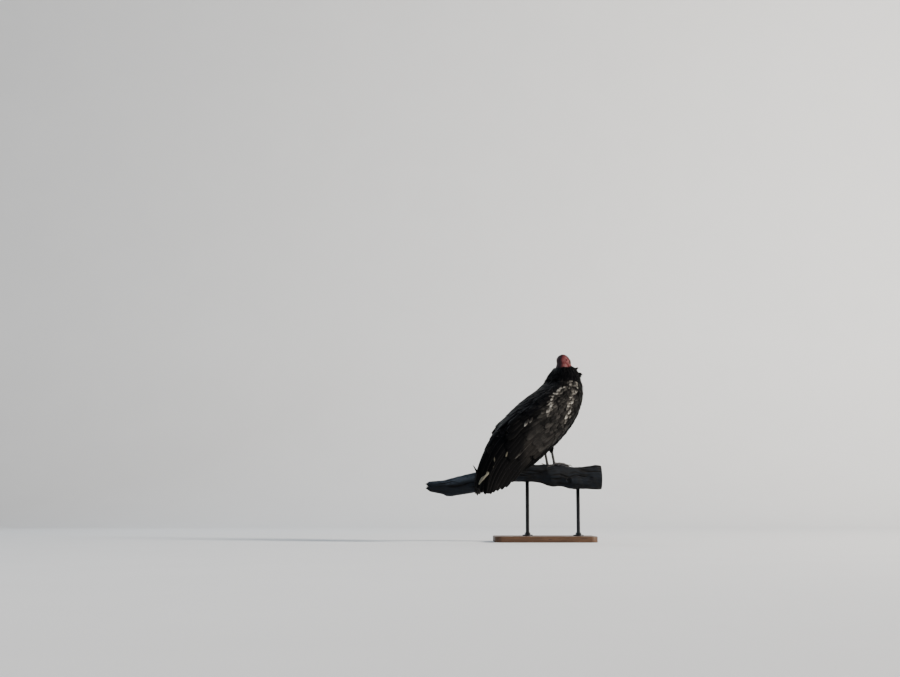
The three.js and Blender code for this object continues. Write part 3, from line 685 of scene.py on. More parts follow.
def vanes(
    place, outline, rows, columns, s, around, length, half, side=1, heading=0.0, root=-4.0, tip=0.0,
    camber=0.6, roll=0.12, curl=0.0, sweep=0.0, thick=0.35, uneven=0.0, reach=None, tone=0.5, pale=0.0,
    tone_by_place=None,
):
    """Closed vanes on place(s, around, lift). Along a vane p runs from 0 to 1 and across it q from -1 to 1.
    s moves by the length along the heading, around by the half width times outline(p) times q, and the lift
    is root + (tip - root) p + curl p^3 + camber (1 - q^2) - roll times the millimetres across. A function of
    (s, around) can scale the tone from place to place; on the wing it carries wear and painted sunlight."""
    columns_of = [s, around, length, half, side, heading, root, tip, camber, roll, curl, sweep, tone, pale]
    n = max(np.size(c) for c in columns_of)
    wide = [np.broadcast_to(np.asarray(c, float), (n,))[:, None, None] for c in columns_of]
    s, around, length, half, side, heading, root, tip, camber, roll, curl, sweep, tone, pale = wide
    p = (1 - (1 - np.linspace(0, 1, rows + 1)) ** 1.45)[None, :, None]
    q = np.linspace(-1, 1, columns + 1)[None, None, :]
    here = place(s, around, 0.0, side)
    along = np.linalg.norm(place(s + NEARBY, around, 0.0, side) - here, axis=-1) / NEARBY
    if reach is not None:
        along = length / np.broadcast_to(np.asarray(reach, float), (n,))[:, None, None]
    c, d = np.cos(np.radians(heading)), np.sin(np.radians(heading))
    far = length * p
    middle_s = s + far * c / along
    step = place(middle_s, around + 1.0, 0.0, side) - place(middle_s, around, 0.0, side)
    per_degree = np.maximum(np.linalg.norm(step, axis=-1), 0.12)
    across = half * outline(p) * q * (1 + uneven * np.sign(q)) + sweep * p**2
    at_s = middle_s - across * d / along
    at_around = around + (far * d + across * c) / per_degree
    lift = root + (tip - root) * p + curl * p**3 + camber * (1 - q**2) * np.sqrt(outline(p)) - roll * across
    top = place(at_s, at_around, lift, side)
    low = place(at_s, at_around, lift - thick, side)
    grid = np.concatenate([top, low[:, :, ::-1]], 2)
    ring = 2 * (columns + 1)
    margin = np.minimum(half * outline(p) * (1 - np.abs(q)), length * (1 - p)) + 0 * s
    both = lambda values: np.concatenate([values, values[:, :, ::-1]], 2).reshape(-1)
    tone = tone * (1 if tone_by_place is None else tone_by_place(at_s, at_around))
    spread = np.broadcast_arrays(margin, across, far, tone, pale, q, p)
    margin, across, far, tone, pale, q, p = (both(v + 0.0) for v in spread)
    under = np.zeros((n, rows + 1, ring))
    under[:, :, columns + 1 :] = 1
    home = np.stack([(around % 360) / 360, (s + 0.1) / 1.2], -1) + 0 * grid[..., :2]
    patch_uv = home.reshape(-1, 2) * 0.99 + PATCH * np.stack([(q + 1) / 2, p], -1)
    i, k = np.meshgrid(np.arange(rows), np.arange(ring), indexing="ij")
    a, b = i * ring + k, i * ring + (k + 1) % ring
    walls = np.stack([a, b, b + ring, a + ring], -1).reshape(-1, 4)
    k = np.arange(columns)
    cap = np.stack([k, ring - 1 - k, ring - 2 - k, k + 1], -1)
    faces = np.concatenate([walls, cap, cap[:, ::-1] + rows * ring])
    every = (np.arange(n) * (rows + 1) * ring)[:, None, None] + faces[None]
    m = rows // 2
    turned_over = np.cross(top[:, m, 1] - top[:, m, 0], top[:, m + 1, 0] - top[:, m, 0])
    wrong = np.sum(turned_over * (top[:, m, 0] - low[:, m, 0]), -1) < 0
    every[wrong] = every[wrong][:, :, ::-1]
    values = {"margin": margin, "tone": tone, "pale": pale, "share": p, "under": under.reshape(-1)}
    maps = {"vane": np.stack([across, far], -1), "OFBake": patch_uv}
    return to_world(grid.reshape(-1, 3)), every.reshape(-1, 4), values, maps


def plumage(name, batches, finish, slot, replaces=()):
    """One joined piece from several batches of vanes."""
    points, faces, start = [], [], 0
    for batch in batches:
        points.append(batch[0])
        faces.append(batch[1] + start)
        start += len(batch[0])
    values = {key: np.concatenate([batch[2][key] for batch in batches]) for key in batches[0][2]}
    maps = {key: np.concatenate([batch[3][key] for batch in batches]) for key in batches[0][3]}
    faces = np.concatenate(faces)
    build(name, np.concatenate(points), [faces], finish, slot, replaces, values, maps)
    print(f"{name}: {2 * len(faces)} triangles")


def staggered(place, s_values, low, high, wide, draw, jitter=0.25):
    """Roots in rows at s_values, from low to high degrees and about `wide` mm apart, each second row
    shifted by half a step, all moved a little at random."""
    s_values = np.asarray(s_values, float)
    middle = (low + high) / 2
    two_degrees = place(s_values, middle + 2.0, 0.0) - place(s_values, middle, 0.0)
    per_degree = np.linalg.norm(two_degrees, axis=-1) / 2
    rows_s, rows_around = [], []
    for row, (s, scale) in enumerate(zip(s_values, per_degree)):
        count = max(2, int(round((high - low) * scale / wide)))
        step = (high - low) / count
        around = low + (np.arange(count) + 0.25 + 0.5 * (row % 2)) * step
        rows_around.append(around + draw.uniform(-jitter, jitter, count) * step)
        rows_s.append(s + draw.uniform(-jitter, jitter, count) * (s_values[1] - s_values[0]))
    return np.concatenate(rows_s), np.concatenate(rows_around)


# %% [markdown]
# ## The finish of the feathers
# A vulture's plumage is brown-black. Fresh feathers are dark and a little glossy, old ones are browner, and
# the coverts of the wing wear to pale margins. The shaft is a fine dark line, and the barbs run off it at a
# slant, which a fine ripple shows.


# %% Feather finishes
BARB_MM = 0.8  # from one barb to the next


def feather_finish(
    name, dark, brown, fringe, silver=None, rough=0.5, gloss=0.05, fringe_wide=0.8, tip_from=0.42
):
    """Dark to brown by each vane's tone, a margin of fringe colour by its pale value, and a silver underside
    where that is given. rough and gloss are the shader's roughness and specular level. The margin is
    fringe_wide millimetres wide, and a very pale vane is pale all over from tip_from of its length."""
    material, add, wear = finish(name, Roughness=rough, Specular_IOR_Level=gloss)
    value = lambda key: attribute(add, key)
    both = add("SeparateXYZ", {"Vector": add("UVMap", uv_map="vane")}).node
    across = math_node(add, "ABSOLUTE", both.outputs[0])
    slant = math_node(add, "SUBTRACT", both.outputs[1], times(add, across, 1.3))
    barb = math_node(add, "SINE", times(add, slant, 2 * np.pi / BARB_MM))
    shade = math_node(add, "MULTIPLY_ADD", noise(add, 55.0, 3.0), 1.3, 0.35)
    tone = times(add, value("tone"), shade, clamp=True)
    vane = blend_rgb(add, tone, dark, brown)
    vane = blend_rgb(add, math_node(add, "MULTIPLY_ADD", barb, 0.10, 0.12), vane, (0.0, 0.0, 0.0))
    vane = blend_rgb(add, steps(add, across, 0.2, 0.55), tuple(0.35 * np.array(dark)), vane)
    ragged = math_node(add, "MULTIPLY_ADD", noise(add, 300.0, 3.0), 3.6, -1.8)
    edge = math_node(add, "ADD", value("margin"), ragged)
    inside = steps(add, edge, -1.2 * fringe_wide, 1.8 * fringe_wide)
    rim = times(add, math_node(add, "SUBTRACT", 1.0, inside), value("pale"), clamp=True)
    rim = times(add, rim, steps(add, value("share"), 0.2, 0.9))
    tip = steps(add, value("share"), tip_from, 1.0)
    tip = times(add, math_node(add, "POWER", value("pale"), 3.0), tip)
    rim = math_node(add, "MAXIMUM", times(add, rim, 0.6), tip, clamp=True)
    rim = times(add, rim, steps(add, noise(add, 130.0, 2.0), 0.12, 0.60))
    vane = blend_rgb(add, rim, vane, fringe)
    if silver:
        vane = blend_rgb(add, value("under"), vane, silver)
    wear(Base_Color=vane, Normal=relief(add, barb, 0.00005, 0.3))
    return material


mantle_black = feather_finish(
    "mantle_black", (0.0017, 0.0020, 0.0030), (0.0056, 0.0054, 0.0062), (0.026, 0.025, 0.026),
    rough=0.55, gloss=0.035,
)
breast_black = feather_finish(
    "breast_black", (0.0015, 0.0017, 0.0023), (0.0052, 0.0049, 0.0051), (0.026, 0.025, 0.025),
    rough=0.66, gloss=0.04,
)
covert_brown = feather_finish(
    "covert_brown", (0.0020, 0.0021, 0.0025), (0.0310, 0.0290, 0.0278), (0.310, 0.298, 0.272),
    rough=0.62, gloss=0.045, fringe_wide=1.0,
)
flight_brown = feather_finish(
    "flight_brown", (0.0016, 0.0017, 0.0022), (0.0150, 0.0138, 0.0130), (0.150, 0.144, 0.132),
    (0.020, 0.020, 0.021), rough=0.55, gloss=0.035, fringe_wide=1.0, tip_from=0.80,
)
print("four feather finishes")

# %% [markdown]
# ## The coat of the trunk
# The breast and belly have soft, round feathers that hang loose. The mantle's are larger and lie tighter,
# and grow longer towards the rump. Under the wings there are none to see, so none are made there.

# %% Breast, belly and mantle
# how many millimetres a whole step of s is, about: on the back, and along the two layers of flight feathers
MM_PER_S, SECONDARY_MM_PER_S, PRIMARY_MM_PER_S = 640.0, 690.0, 660.0
BREAST_EDGE, MANTLE_EDGE = 66, 126  # degrees round from the breast's middle
SECONDARIES, PRIMARIES, RECTRICES = 14, 10, 12  # the flight feathers of a wing, and of the tail
STIFF = 0.6  # millimetres, the thickness of a flight feather


def spaced(low, high, step):
    """Values of s from low to high that lie `step` millimetres apart."""
    return np.arange(low, high, step / MM_PER_S)


draw = np.random.default_rng(7)
s, around = staggered(on_body, spaced(0.0, 0.74, 9.5), -BREAST_EDGE, BREAST_EDGE, 10.5, draw)
n = len(s)
breast = vanes(
    on_body, loose, 6, 4, s, around,
    length=draw.uniform(25, 35, n), half=draw.uniform(6.6, 8.8, n), heading=draw.normal(0, 9, n),
    root=-5.5, tip=draw.uniform(-0.8, 2.2, n), camber=0.9, roll=draw.normal(0.0, 0.12, n),
    sweep=draw.normal(0, 1.4, n), tone=draw.uniform(0.1, 0.8, n), pale=draw.uniform(0.0, 0.6, n),
)
plumage("breast_feathers", [breast], breast_black, "plumage")

s, around = staggered(on_body, spaced(0.01, 0.72, 12.0), MANTLE_EDGE, 360 - MANTLE_EDGE, 14.5, draw)
n = len(s)
mantle = vanes(
    on_body, rounded, 7, 4, s, around,
    length=np.interp(s, [0, 0.2, 0.7], [30, 44, 62]) * draw.uniform(0.9, 1.1, n),
    half=np.interp(s, [0, 0.2, 0.7], [9, 13, 15]) * draw.uniform(0.92, 1.08, n),
    heading=draw.normal(0, 4, n), root=-5.0, tip=draw.uniform(-0.4, 1.8, n), camber=1.2,
    roll=0.10 * np.sign(180 - around) + draw.normal(0, 0.04, n), sweep=draw.normal(0, 1.5, n),
    tone=draw.uniform(0.0, 0.7, n), pale=draw.uniform(0.0, 0.6, n),
)
plumage("mantle_feathers", [mantle], mantle_black, "plumage")

# %% [markdown]
# ## The folded wings
# From the outside in, a folded wing shows its coverts in rows, small at the wrist and larger behind, then
# the secondaries with the three tertials on top, and last the long primaries, which run to the tail's end.
# In each row the feather nearer the back lies on the one before it, so its lower edge shows.


# %% Wear and painted sunlight on the wing
def worn_and_sunlit(s, around):
    """How brown the wing is, from 0 to 1: worn brown and painted sunlight, most between a slanting line and
    the front edge, where the low sun falls, and painted shade behind the line, in a dusky patch and towards
    the tips.
    """
    line = np.interp(
        s, [0.10, 0.185, 0.26, 0.39, 0.45, 0.52, 0.58, 0.64, 0.71, 0.80],
        [92, 110, 131, 125, 114, 113, 103, 97, 80, 64],
    )
    front = np.interp(s, [0.13, 0.20, 0.30, 0.36, 0.43, 0.50], [84, 82, 79, 72, 61, 49])
    below = (1 - ramp(around, line - 9, line + 7)) * ramp(around, front - 6, front + 4)
    # dusky is a patch of painted shade, and along fades to painted shade towards the tips
    dusky = 0.55 * bump(s, 0.27, 0.035) * bump(around, 101, 12)
    along = ramp(s, 0.09, 0.15) * (0.72 + 0.28 * ramp(s, 0.42, 0.56)) * (1 - 0.9 * ramp(s, 0.60, 0.78))
    return np.clip(0.06 + below * along - dusky, 0.03, 1)


def frosted(s, around):
    """Where the palest fringes lie: along two arcs, above and below the bend of the wing."""
    upper = np.interp(s, [0.135, 0.19, 0.245, 0.315, 0.375, 0.43], [92, 103, 123, 125, 116, 106])
    lower = np.interp(s, [0.13, 0.19, 0.30, 0.335, 0.37], [79, 83, 87, 77, 71])
    above = bump(around, upper, 8) * (1 - ramp(s, 0.44, 0.49))
    below = bump(around, lower, 5.5) * (1 - ramp(s, 0.36, 0.42))
    return np.maximum(above, below)


def unfringed_above(around):
    """1 on the lower part of the wing and 0 on the upper, where feathers have no pale fringes."""
    return 1 - ramp(around, 98, 114)


# %% Coverts and shoulder
COVERTS = [
    # s from, s to, step, width apart, length, half width, rows of quads, around from, around to
    (0.100, 0.19, 6.5, 7.6, 26.0, 6.0, 6, 44, 150),
    (0.19, 0.31, 7.6, 8.6, 33.0, 6.9, 7, 44, 151),
    (0.31, 0.40, 10.0, 10.0, 44.0, 8.2, 8, 45, 151),
    (0.40, 0.455, 12.0, 12.5, 56.0, 9.8, 8, 47, 151),
]
GREATER_COVERTS = [
    # s, degrees moved aside, length, root
    (0.455, 0.0, 78, -4.6),
    (0.475, 3.5, 96, -5.2),
]
ALULA = np.array([50.0, 53.5, 57.0])


def wing_coverts(name, side, draw):
    """The wing's shield: small coverts in rows, two rows of greater coverts, two lone pale feathers that
    stand off it, and the three feathers of the alula at its lower edge."""
    batches = []
    for low, high, step, apart, length, half, rows, first, last in COVERTS:
        s, around = staggered(on_wing, spaced(low, high, step), first, last, apart, draw)
        n = len(s)
        bold = np.where(draw.uniform(0, 1, n) < 0.62, draw.uniform(0.75, 1.1, n), 0.25)
        pale = draw.uniform(-0.3, 0.45, n) + 1.1 * bold * frosted(s + 0.7 * length / MM_PER_S, around)
        batches.append(
            vanes(
                on_wing, loose, rows, 4, s, around, side=side,
                length=length * draw.uniform(0.85, 1.2, n), half=half * draw.uniform(0.9, 1.12, n),
                heading=draw.normal(3, 9, n), root=-5.0, tip=draw.uniform(-0.6, 3.0, n), camber=0.9,
                roll=0.10 + draw.normal(0, 0.07, n), sweep=draw.normal(0, 1.6, n), tone_by_place=worn_and_sunlit,
                tone=0.12 + 0.95 * draw.uniform(0, 1, n) ** 1.9, pale=np.clip(pale, 0, 1),
            )
        )
    around = np.linspace(50, 147, SECONDARIES)
    n = len(around)
    for low, aside, length, root in GREATER_COVERTS:
        batches.append(
            vanes(
                on_wing, rounded, 10, 6, low + draw.uniform(-0.006, 0.006, n), around + aside, side=side,
                length=length * draw.uniform(0.93, 1.06, n), half=12.0, heading=draw.normal(3, 2.0, n),
                root=root, tip=draw.uniform(-0.6, 0.9, n), camber=1.2, roll=0.12, tone_by_place=worn_and_sunlit,
                tone=draw.uniform(0.2, 0.75, n), pale=draw.uniform(0.0, 0.4, n) * unfringed_above(around),
            )
        )
    lone = vanes(
        on_wing, loose, 7, 4, [0.532, 0.512], [124.0, 121.0], side=side, length=[34, 26], half=[5.6, 4.6],
        heading=[-12, -16], root=0.4, tip=2.6, camber=0.9, roll=0.08, tone=0.8, pale=[1.0, 0.66],
    )
    alula = vanes(
        on_wing, blade, 10, 4, 0.36, ALULA, side=side, length=[58, 50, 40], half=6.5, heading=1.0,
        root=-2.0, tip=1.2, camber=0.8, roll=0.1, tone=0.35, pale=0.4,
    )
    replaced = [f"wing_coverts_{name}"]
    plumage(f"wing_coverts_vanes_{name}", batches + [lone, alula], covert_brown, "wing_plumage", replaced)


def scapulars(name, side, draw):
    """The shoulder's feathers over the wing's upper edge, and a long stray one that stands off the rump."""
    first, last = 0.06, 0.44
    s, around = staggered(on_wing, spaced(first, last, 13.0), 131, 158, 13.0, draw)
    n = len(s)
    shoulder = vanes(
        on_wing, rounded, 8, 4, s, around, side=side,
        length=np.interp(s, [first, last], [32, 66]) * draw.uniform(0.9, 1.1, n),
        half=np.interp(s, [first, last], [9, 14]), heading=draw.normal(-3, 5, n), root=-4.0,
        tip=draw.uniform(0.4, 2.8, n), camber=1.2, roll=0.08, tone=draw.uniform(0.0, 0.7, n),
        pale=draw.uniform(0.0, 0.6, n),
    )
    stray = vanes(
        on_body, loose, 14, 4, 0.50, 167.0 if side < 0 else 158.0, side=side, length=120, half=15,
        heading=3.0, root=-2.0, tip=1.0, curl=9.0, camber=1.8, roll=0.1, tone=0.2, pale=0.2,
    )
    plumage(f"scapulars_{name}", [shoulder, stray], mantle_black, "plumage")


# %% Flight feathers
def secondaries(name, side, draw):
    """The secondaries, the middle ones longest, and the three tertials that lie on top of them."""
    lowest, share = 0.42, np.linspace(0, 1, SECONDARIES)
    n = len(share)
    around = 58 + 90 * share
    reach = 0.65 + 0.11 * np.sin(np.pi * share) ** 2 - lowest + draw.uniform(-0.012, 0.012, n)
    tip, heading, tone = draw.uniform(0.1, 1.3, n), draw.normal(0, 0.7, n), draw.uniform(0.6, 1.3, n)
    pale = draw.uniform(0.0, 0.3, n) * unfringed_above(around) + 0.8 * bump(around, 94, 3.5)
    row = vanes(
        on_secondaries, blade, 18, 6, lowest, around, side=side, length=reach * SECONDARY_MM_PER_S,
        half=13.5, reach=reach, root=-3.0, tip=tip, camber=1.0, roll=0.13, uneven=0.15, thick=STIFF,
        tone_by_place=worn_and_sunlit, heading=heading, tone=tone, pale=np.clip(pale, 0, 1),
    )
    tertials = vanes(
        on_secondaries, blade, 18, 6, 0.40, np.array([128.0, 137.0, 146.0]), side=side,
        length=[175, 158, 138], half=15.0, reach=[0.285, 0.25, 0.215], root=0.5, tip=[3.0, 4.0, 5.0],
        curl=[9.0, 6.0, 4.0], camber=1.4, roll=0.10, thick=STIFF, tone=[0.08, 0.12, 0.08],
        pale=[0.15, 0.1, 0.1],
    )
    replaced = [f"wing_secondaries_{name}"]
    plumage(f"secondary_vanes_{name}", [row, tertials], flight_brown, "wing_plumage", replaced)


def primaries(name, side, draw):
    """The primaries, longer and longer from the wing's lower edge to the tail."""
    lowest, share = 0.48, np.linspace(0.02, 1, PRIMARIES)
    n = len(share)
    around = 60 + 79 * share
    reach = 0.84 + 0.16 * np.sin(np.pi / 2 * share**0.7) - lowest + draw.uniform(-0.006, 0.004, n)
    row = vanes(
        on_primaries, notched, 26, 6, lowest, around, side=side, length=reach * PRIMARY_MM_PER_S,
        half=14.0, reach=reach, root=-2.0, tip=draw.uniform(0.2, 1.4, n), camber=0.9, roll=0.14, uneven=0.2,
        thick=STIFF, sweep=-2.0, heading=draw.normal(0, 0.5, n), tone_by_place=worn_and_sunlit, tone=draw.uniform(0.8, 1.6, n),
        pale=draw.uniform(0.0, 0.3, n),
    )
    replaced = [f"wing_primaries_{name}"]
    plumage(f"primary_vanes_{name}", [row], flight_brown, "wing_plumage", replaced)


for (name, side), seed in zip(SIDES, (11, 12)):
    draw = np.random.default_rng(seed)
    for layer in (wing_coverts, scapulars, secondaries, primaries):
        layer(name, side, draw)

# %% [markdown]
# ## The tail
# Twelve broad feathers, fanned a little, the middle pair on top. Tail coverts lie over their bases, and two
# ruffled feathers stand up near their tips.

# %% Tail feathers
draw = np.random.default_rng(31)
place_in_fan = np.linspace(-1, 1, RECTRICES)
around = 180 + 60 * place_in_fan
reach = 0.335 + 0.1 * (1 - 0.2 * place_in_fan**2) - 0.08 + draw.uniform(-0.004, 0.004, RECTRICES)
rectrices = vanes(
    on_tail, blade, 26, 6, 0.62, around, length=reach * MM_PER_S, half=15.5, reach=reach, root=-1.5,
    tip=0.0, camber=1.1, roll=-0.13 * np.sign(place_in_fan), thick=STIFF,
    tone=draw.uniform(0.05, 0.4, RECTRICES), pale=0.1,
)
s, around = staggered(on_tail, spaced(0.60, 0.70, 17.0), 122, 238, 17.0, draw)
n = len(s)
tail_coverts = vanes(
    on_tail, rounded, 8, 4, s, around,
    length=draw.uniform(62, 78, n), half=13.0, heading=draw.normal(0, 3, n), root=-1.0,
    tip=draw.uniform(1.0, 2.4, n), camber=1.2, roll=0.08 * np.sign(180 - around),
    tone=draw.uniform(0.0, 0.6, n), pale=draw.uniform(0.1, 0.6, n),
)
ruffled = vanes(
    on_tail, loose, 12, 4, [0.918, 0.91], [182.0, 174.0], length=[29, 23], half=[7.0, 5.0],
    heading=[183, 168], root=-1.0, tip=6.0, curl=[18.0, 10.0], camber=1.2, roll=0.05, tone=0.2, pale=0.3,
)
plumage("tail_vanes", [rectrices, tail_coverts, ruffled], flight_brown, "plumage", ["tail"])

# %% [markdown]
# One flight feather of the right wing is twisted over near its tip, so the pale side shows as a streak.

# %% The twisted feather
pale_side = feather_finish(
    "pale_side", (0.006, 0.006, 0.006), (0.26, 0.245, 0.185), (0.2, 0.18, 0.14), rough=0.55
)
streak = vanes(
    on_primaries, rounded, 16, 4, 0.832, 119.0, length=92, half=7.6, heading=27.0, side=-1, root=-1.2,
    tip=0.8, camber=1.2, roll=0.22, thick=0.5, tone=1.0, pale=0.0,
    tone_by_place=lambda s, around: 0.9 * ramp(s, 0.845, 0.89),
)
nicks = vanes(
    on_primaries, loose, 6, 2, [0.795, 0.826], [135.0, 124.0], length=[18, 14], half=[2.6, 2.4],
    heading=[-30, 8], side=-1, root=-0.4, tip=1.6, camber=0.6, roll=0.1, tone=[0.28, 0.5],
)
chip = vanes(
    on_secondaries, loose, 6, 2, 0.735, 114.0, length=22, half=3.0, heading=-16, side=-1, root=0.6, tip=2.4,
    camber=0.6, roll=0.1, tone=0.4,
)
plumage("twisted_feather", [streak, nicks, chip], pale_side, "wing_plumage")

# %% [markdown]
# ## The ruff
# Where the bare neck enters the plumage stands a collar of short lances. They start on the neck, fall
# outwards over the shoulders, and their points stand off, which makes the ragged edge. In front, three
# tufts have been pushed up by the crop and stick out forwards.


# %% Ruff and tufts
def on_tuft(start, end, radius, blunt):
    """Places on a cone that narrows from start to end to `blunt` of its radius there: s along it, around it
    in degrees, and lift off its side."""
    start, end = np.array(start, float), np.array(end, float)
    axis = end - start
    ahead = axis / np.linalg.norm(axis)
    across = np.cross(ahead, (0.0, 0.0, 1.0))
    across /= np.linalg.norm(across)
    up = np.cross(across, ahead)

    def place(s, around, lift, side=1):
        s, around, lift = np.broadcast_arrays(s, around, lift)
        a = np.radians(around)
        out = (radius * np.clip(1 - (1 - blunt) * s, 0.1, 1.3) + lift)[..., None]
        return start + s[..., None] * axis + out * (np.cos(a)[..., None] * up + np.sin(a)[..., None] * across)

    return place


RUFF_TOP = -0.088  # the value of s where the ruff begins in front; behind it begins at 0
TUFTS = [
    # foot, point, radius, share of it at the point, feathers
    ((84, -10, 350), (123, -18, 370), 12.5, 0.30, 200),
    ((95, -24, 339), (123, -34, 341), 12.0, 0.80, 150),
    ((97, -25, 339), (122, -34, 341), 6.0, 0.6, 60),  # inside the one before
    ((82, 14, 351), (108, 20, 361), 9.0, 0.3, 60),
]
draw = np.random.default_rng(17)
s, around = staggered(on_envelope, spaced(RUFF_TOP, 0.105, 6.0), 0, 360, 6.6, draw, 0.35)
behind = ramp(-np.cos(np.radians(around)), 0.2, 0.9)
kept = s > RUFF_TOP - RUFF_TOP * behind
s, around = s[kept], around[kept]
n = len(s)
small = np.clip(1 + s / 0.13, 0.3, 1)
collar = vanes(
    on_envelope, pointed, 6, 4, s, around,
    length=(draw.uniform(17, 27, n) + 70 * np.clip(s, 0, 1)) * small, half=draw.uniform(3.8, 5.6, n) * small,
    heading=draw.normal(0, 11, n), root=-3.0, tip=draw.uniform(0.0, 3.0, n), curl=draw.uniform(-1.0, 4.0, n),
    camber=0.8, roll=draw.normal(0, 0.15, n), tone=draw.uniform(0.0, 0.6, n), pale=draw.uniform(0.0, 0.35, n),
)
tufts = []
for start, end, radius, blunt, count in TUFTS:
    tufts.append(
        vanes(
            on_tuft(start, end, radius, blunt), pointed, 6, 2,
            draw.uniform(-0.3, 0.50, count), draw.uniform(0, 360, count),
            length=draw.uniform(19, 27, count), half=draw.uniform(3.4, 5.0, count),
            heading=draw.normal(0, 7, count), root=-4.0, tip=draw.uniform(-1.5, 0.8, count),
            camber=0.6, roll=draw.normal(0, 0.1, count),
            tone=draw.uniform(0.0, 0.6, count), pale=draw.uniform(0.0, 0.3, count),
        )
    )
plumage("ruff_feathers", [collar, *tufts], mantle_black, "plumage")

# %% [markdown]
# ## Feathered legs
# Down to the ankle each leg wears loose, narrow feathers, the trousers, which hang over the bare shank.


# %% Legs' paths
SPREAD, ANKLE, FOOT = 26.0, (-3.0, 64.0), 11.0
THIGH_LINE = [(-30, 34, 126), (-20, 33, 102), (-8, 30, 74), (1, 26, 47)]
TOES = {
    # bearing outwards from straight ahead, length, radius, claw length
    "inner": (-20, 40, 4.6, 17),
    "middle": (2, 60, 5.0, 18),
    "outer": (34, 43, 4.5, 15),
    "hind": (188, 20, 4.2, 12),
}
THIGH_LENGTH = 88.0
thigh_rows = smooth_rows(THIGH_LINE)


def on_thigh(s, around, lift, side=1):
    """A place on the feathered leg, a cone about a bent line: around is 0 in front and 90 outwards."""
    s, around, lift, side = np.broadcast_arrays(s, around, lift, side)
    inside = np.clip(s, 0.0, 0.95)
    mirror = np.stack([np.ones_like(s), side, np.ones_like(s)], -1)
    ahead = (thigh_rows(inside + 0.05) - thigh_rows(inside - 0.05)) * mirror
    ahead /= np.linalg.norm(ahead, axis=-1, keepdims=True)
    middle = thigh_rows(inside) * mirror + (s - inside)[..., None] * THIGH_LENGTH * ahead
    outwards = np.stack([np.zeros_like(s), side, np.zeros_like(s)], -1)
    front = np.cross(outwards, ahead)
    front *= np.sign(front[..., :1]) / np.linalg.norm(front, axis=-1, keepdims=True)
    a = np.radians(around)[..., None]
    out = (25 - 18 * np.clip(s, 0, 1) ** 0.8 + lift)[..., None]
    return middle + out * (np.cos(a) * front + np.sin(a) * outwards)


for name, side in SIDES:
    draw = np.random.default_rng(40 + side)
    s, around = staggered(on_thigh, np.arange(0.0, 0.86, 0.075), 0, 360, 6.5, draw, 0.35)
    n = len(s)
    trousers = vanes(
        on_thigh, pointed, 6, 2, s, around, length=draw.uniform(20, 29, n) * (1 - 0.25 * s), side=side,
        half=draw.uniform(3.6, 5.0, n) * (1 - 0.25 * s), heading=draw.normal(0, 9, n), root=-3.0,
        tip=draw.uniform(-1.0, 2.0, n), camber=0.7, roll=draw.normal(0, 0.12, n),
        tone=draw.uniform(0.1, 0.7, n),
    )
    plumage(f"leg_feathers_{name}", [trousers], breast_black, "plumage")

# %% [markdown]
# ## The skin
# One skin covers the bird from the crown to the toes. Under the plumage it lies deep and plain. The bare
# head and neck and the scaly shanks and toes are its visible parts. Each is first a tube about its own
# line. Head and neck are fused by a fine voxel remesh, and so is each foot; then a union joins them all.
# The folds, lids and warts are moved into the fused head by formulas in the head's own frame.


# %% Tubes
VOXEL = 0.00062  # metres


def tube(line, radius, rings, sides, upward=(0, 0, 1)):
    """Rings about a smooth line. radius(t, turn) is in millimetres, and turn is 90 degrees at the top."""
    at = smooth_rows(line)
    t = np.linspace(0, 1, rings)
    middle = at(t)[:, :3]
    ahead = np.gradient(middle, axis=0)
    ahead /= np.linalg.norm(ahead, axis=-1, keepdims=True)
    aside = np.cross(ahead, np.asarray(upward, float))
    aside /= np.linalg.norm(aside, axis=-1, keepdims=True)
    up = np.cross(aside, ahead)
    turn = turns(sides)
    out = radius(t[:, None], turn[None, :]) + 0 * t[:, None] * turn[None, :]
    around = np.cos(turn)[None, :, None] * aside[:, None] + np.sin(turn)[None, :, None] * up[:, None]
    return middle[:, None] + out[..., None] * around


def outward(points, faces):
    """The same faces, turned over if they enclose a negative volume."""
    total = 0.0
    for f in faces:
        a = points[f[:, 0]]
        for k in range(1, f.shape[1] - 1):
            total += np.einsum("ij,ij->", a, np.cross(points[f[:, k]], points[f[:, k + 1]]))
    return faces if total > 0 else [f[:, ::-1] for f in faces]


def solid_tube(grid):
    """Points in the frame's metres and outward faces of a closed tube given in the bird's millimetres."""
    points, faces = closed_tube(grid)
    points = to_world(points)
    return points, outward(points, faces)


def shell(grids):
    """One mesh object of several closed tubes given in the bird's millimetres."""
    points, faces, start = [], [], 0
    for tube_points, tube in map(solid_tube, grids):
        points.append(tube_points)
        faces += [f + start for f in tube]
        start += len(tube_points)
    return build("rough_form", np.concatenate(points), faces, mantle_black)


def modified(thing, name, modifiers):
    """A new object with the evaluated mesh of a thing under some modifiers; the old one is removed."""
    for kind, settings in modifiers:
        modifier = thing.modifiers.new(kind.lower(), kind)
        for key, value in settings.items():
            setattr(modifier, key, value)
    graph = bpy.context.evaluated_depsgraph_get()
    mesh = bpy.data.meshes.new_from_object(thing.evaluated_get(graph))
    mesh.name = name
    made = bpy.data.objects.new(name, mesh)
    bpy.context.scene.collection.objects.link(made)
    bpy.data.objects.remove(thing)
    return made


def fused(thing, rounds):
    """One closed skin round overlapping tubes, remeshed in small voxels and smoothed."""
    smooth = ("SMOOTH", {"factor": 0.5, "iterations": rounds})
    return modified(thing, "fused", [("REMESH", {"mode": "VOXEL", "voxel_size": VOXEL}), smooth])


def joined(thing, name, operation, parts):
    """The exact union of a thing with the parts, or their difference; the parts are removed."""
    chosen = {"operation": operation, "solver": "EXACT"}
    made = modified(thing, name, [("BOOLEAN", {"object": part, **chosen}) for part in parts])
    for part in parts:
        bpy.data.objects.remove(part)
    return made


def three_numbers(thing, kind):
    """Three numbers for each point of a mesh object: "co", its place in metres, or "normal"."""
    numbers = np.empty(len(thing.data.vertices) * 3, np.float32)
    thing.data.vertices.foreach_get(kind, numbers)
    return numbers.reshape(-1, 3).astype(float)


